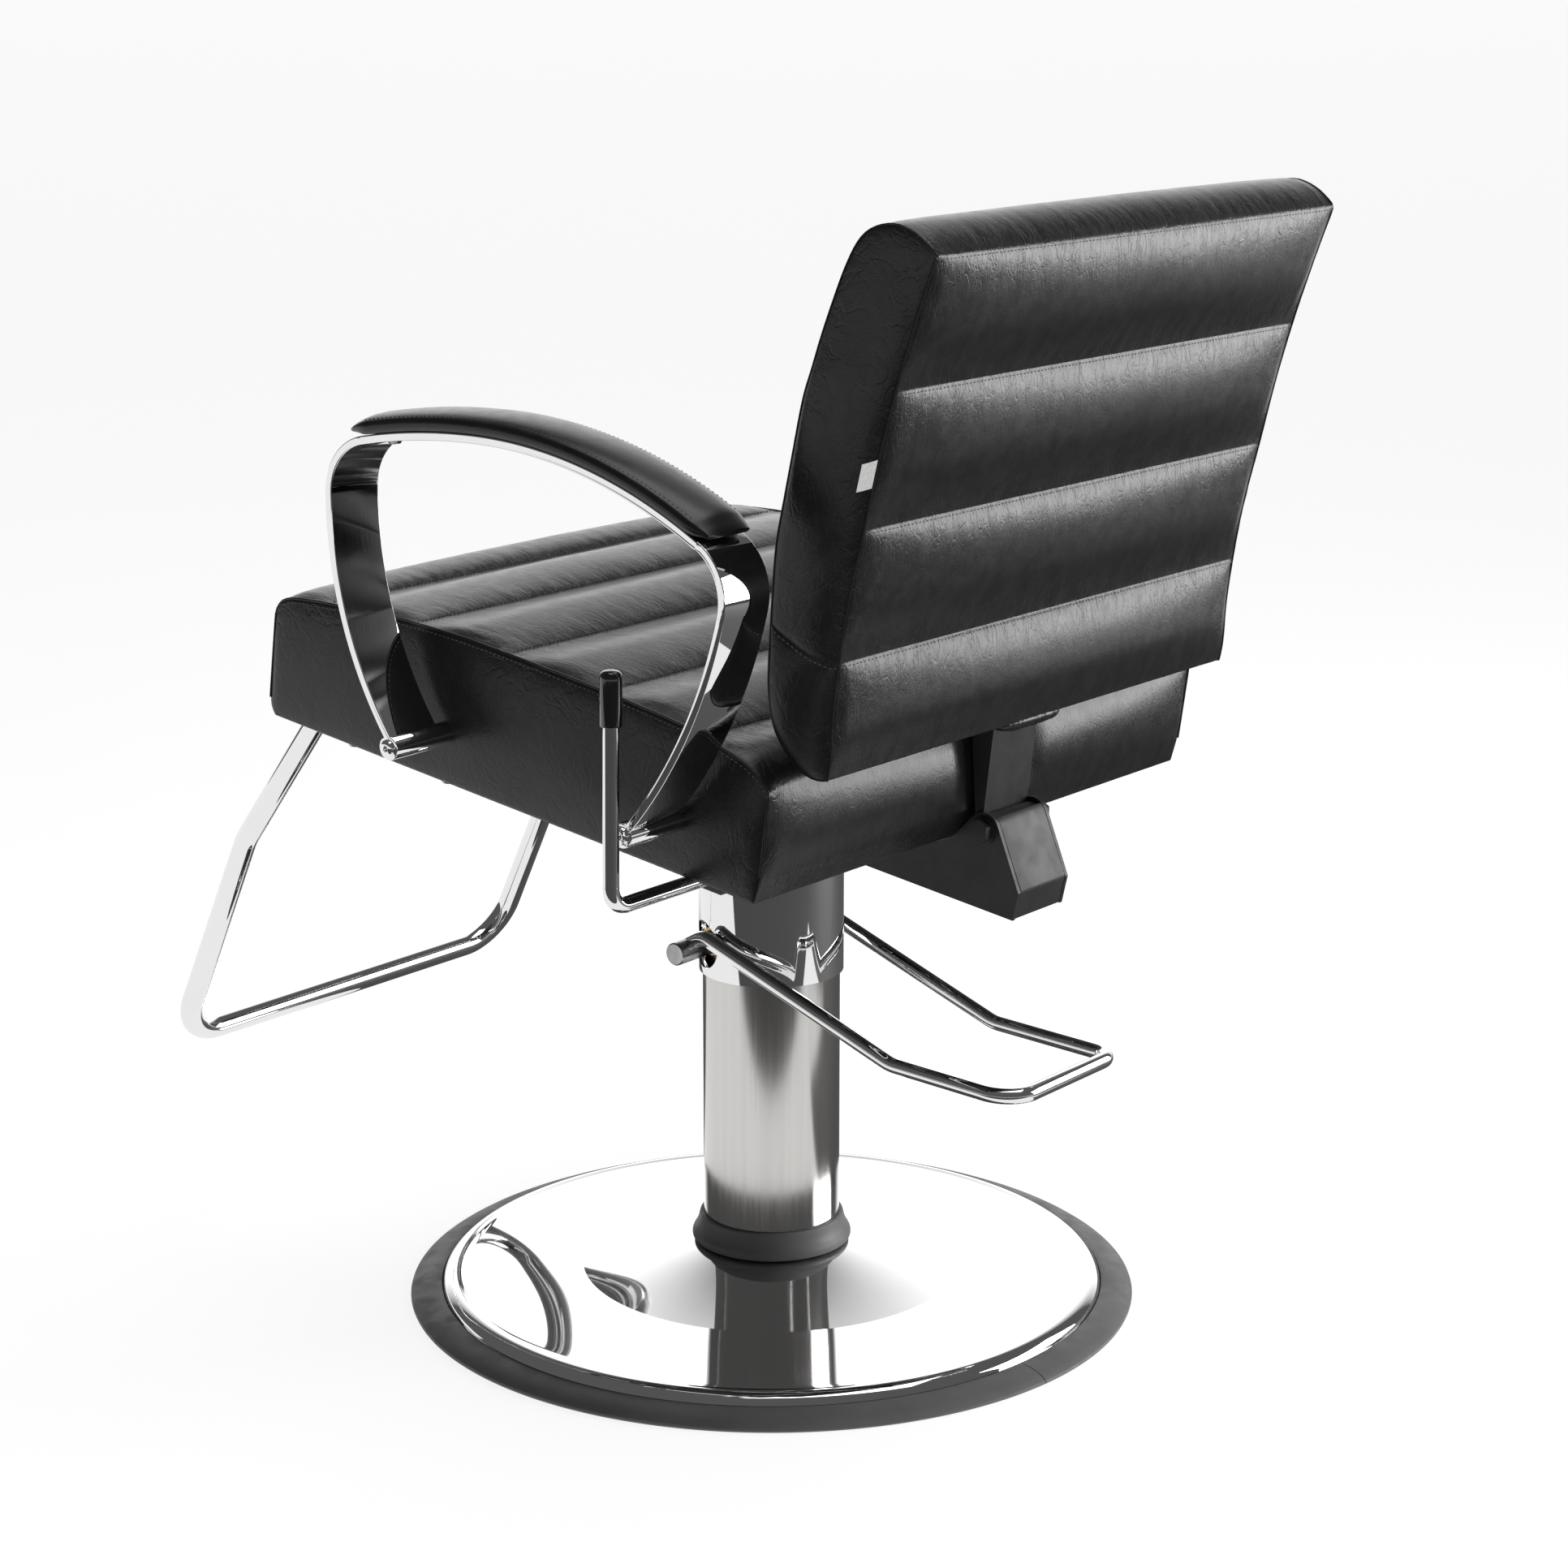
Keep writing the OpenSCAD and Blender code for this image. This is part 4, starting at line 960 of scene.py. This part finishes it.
DOWN = Vector((0, 0, -1))
back_rows = [stitch_row(back_skin, seam(back, j=j, k=k), DOWN * 2.6) for j in (0, bj) for k in back_cuts[1:4]]
back_rows += [stitch_row(back_skin, seam(back, j=bj, k=bk), DOWN * 2.6)]
back_rows += [stitch_row(back_skin, seam(back, i=i, k=ROWS), DOWN * 3.4) for i in (0, bi)]
piece("back_stitching", *joined(*back_rows), "black_vinyl", "back", material=THREAD)
piece("back_welts", *joined(*[welt(back_skin, side_loop(back, i), 0.75, closed=True) for i in (0, bi)]),
      "black_vinyl", "back", material=MATERIALS["black_vinyl"])


def upright_pocket(x0=-37.0, x1=41.0, steps=52):
    """The gathered pocket of cover that the upright comes out of, below the rear foot seam."""
    path = [Vector((x0 + (x1 - x0) * n / steps, 251.5, 529.5)) for n in range(steps + 1)]

    def section(n):
        full = max(0.0, 1 - (2 * n / steps - 1) ** 4) ** 0.5
        gather = 1 + 0.16 * noise.noise(Vector((n * 0.55, 3.0, 0.0)))
        return [((4 + 7.5 * full) * gather * c, (1.5 + 6 * full) * gather * d) for c, d in circle(1.0, 20)]

    return sweep(path, section, Vector((0, 1, 0)))


piece("upright_pocket", *upright_pocket(), "black_vinyl", "back", sharp=80)


def blank_tag(surface, y0, y1, z0, z1, cells=6):
    """A small folded label sewn into the side seam, standing off the cover a little at its free end."""
    grid, faces = [], []
    for level in (0.2, 0.9):
        for a in range(cells + 1):
            for b in range(cells + 1):
                u, w = a / cells, b / cells
                lift = level + 1.6 * (1 - u) ** 2
                spot = Vector((BACK_HALF + 6, y0 + (y1 - y0) * u + 5 * (w - 0.5), z0 + (z1 - z0) * w + 3 * u))
                grid.append(surface.nearest(spot, lift))
    m, n = cells + 1, (cells + 1) ** 2
    for a in range(cells):
        for b in range(cells):
            quad = (a * m + b, a * m + b + 1, (a + 1) * m + b + 1, (a + 1) * m + b)
            faces += [quad, tuple(n + q for q in reversed(quad))]
    rim = list(range(m)) + [a * m + cells for a in range(1, m)]
    rim += [cells * m + b for b in range(cells - 1, -1, -1)] + [a * m for a in range(cells - 1, 0, -1)]
    faces += [(p, q, n + q, n + p) for p, q in zip(rim, rim[1:] + rim[:1])]
    return grid, faces


piece("side_tag", *blank_tag(back_skin, 293.5, 306, 741, 761), "white_tag", "back", ["back_tag"])

settle(seat.obj, "seat", ["seat_cushion"])
settle(back.obj, "back", ["back_cushion"])


# ---- stage, light and camera ----


def stage_plane(name, size, place, material, seen=True):
    mesh = bpy.data.meshes.new(name)
    w, h = size[0] / 2, size[1] / 2
    mesh.from_pydata([(-w, -h, 0), (w, -h, 0), (w, h, 0), (-w, h, 0)], [], [(0, 1, 2, 3)])
    obj = bpy.data.objects.new(name, mesh)
    obj.matrix_world = place
    scene.collection.objects.link(obj)
    mesh.materials.append(material)
    if not seen:
        obj.visible_camera = obj.visible_diffuse = obj.visible_shadow = obj.visible_transmission = False
    return obj


def glowing(name, colour, glow):
    """Matte paper that also glows, so that it stays near white under soft light."""
    f = Finish(name, Roughness=0.9, Emission_Strength=glow)
    f.colour(f.noise(3), colour, tuple(c * 1.03 for c in colour))
    f.shader.inputs["Emission Color"].default_value = (1, 1, 1, 1)
    return f.material


floor = stage_plane("floor", (400, 400), Matrix.Identity(4), glowing("floor", (0.22, 0.22, 0.22), 0.86))
floor.visible_glossy = False


def cards(name, lit, strips):
    """A painted reflection of the floor that only reflections see: a glowing sheet with dark strips of
    painted shade laid over it, as (size, place).
    """
    sheet = Matrix.Translation((0, 0, -0.004))
    stage_plane(name, (60, 60), sheet, glowing(name, (0.02, 0.02, 0.02), lit), seen=False)
    # The strips are painted shade: dark sheets that only reflections see, laid just over the glowing sheet.
    dark = glowing(name + "_dark", (0.02, 0.02, 0.02), 0.05)
    for n, (size, place) in enumerate(strips):
        stage_plane(name + "_dark_%d" % n, size, place, dark, seen=False)


CAMERA_AT = Vector((2.1444, 1.7188, 1.1263))
CAMERA_DIR = Vector((-0.7591, -0.6037, -0.2436))

# Reflections see a pale glowing floor with painted shade: dark strips behind the camera, beside the chair on
# its right and out to its right rear
away = Matrix.Rotation(math.atan2(CAMERA_AT.y, CAMERA_AT.x), 4, "Z")
across = Matrix.Rotation(math.atan2(CAMERA_AT.y, -CAMERA_AT.x), 4, "Z")
cards("gloss_floor", 0.95, [((4.2, 6), away @ Matrix.Translation((2.7, 0, 0.004))),
                            ((1.55, 1.5), Matrix.Translation((-0.925, -0.15, 0.004))),
                            ((3.0, 3.0), across @ Matrix.Translation((2.35, 0, 0.004)))])


def make_world():
    """White all round for the camera; for reflections, white opposite the camera and dark elsewhere."""
    world = bpy.data.worlds.new("studio")
    world.use_nodes = True
    tree = world.node_tree
    back = tree.nodes["Background"]
    place = tree.nodes.new("ShaderNodeTexCoord")
    dot = tree.nodes.new("ShaderNodeVectorMath")
    dot.operation = "DOT_PRODUCT"
    dot.inputs[1].default_value = (-0.78, -0.62, 0.0)
    spread = tree.nodes.new("ShaderNodeMapRange")
    for socket, number in zip(("From Min", "From Max", "To Min", "To Max"), (0.72, 0.92, 0.1, 1.7)):
        spread.inputs[socket].default_value = number
    path = tree.nodes.new("ShaderNodeLightPath")
    mix = tree.nodes.new("ShaderNodeMath")
    mix.operation = "MAXIMUM"
    tree.links.new(place.outputs["Generated"], dot.inputs[0])
    tree.links.new(dot.outputs["Value"], spread.inputs["Value"])
    tree.links.new(spread.outputs["Result"], mix.inputs[0])
    tree.links.new(path.outputs["Is Camera Ray"], mix.inputs[1])
    tree.links.new(mix.outputs[0], back.inputs["Strength"])
    back.inputs["Color"].default_value = (1, 1, 1, 1)
    return world


scene.world = make_world()


def softbox(name, position, target, size, radiance):
    data = bpy.data.lights.new(name, "AREA")
    data.shape = "RECTANGLE"
    data.size, data.size_y = size
    data.energy = radiance * math.pi * size[0] * size[1]
    obj = bpy.data.objects.new(name, data)
    obj.location = position
    obj.rotation_euler = (Vector(target) - Vector(position)).to_track_quat("-Z", "Y").to_euler()
    scene.collection.objects.link(obj)
    return obj


softbox("key_behind_right", (-1.9, 1.85, 0.95), (0, 0.3, 0.75), (2.0, 1.6), 7.0)
softbox("overhead", (-0.4, 0.3, 3.4), (0, 0, 0.4), (2.4, 2.4), 2.5)

camera = bpy.data.cameras.new("camera")
camera.lens = 79.36
camera.sensor_width = 36
camera.clip_end = 100
camera_obj = bpy.data.objects.new("camera", camera)
camera_obj.location = CAMERA_AT
camera_obj.rotation_euler = CAMERA_DIR.to_track_quat("-Z", "Y").to_euler()
scene.collection.objects.link(camera_obj)
scene.camera = camera_obj
scene.view_settings.view_transform = "Standard"
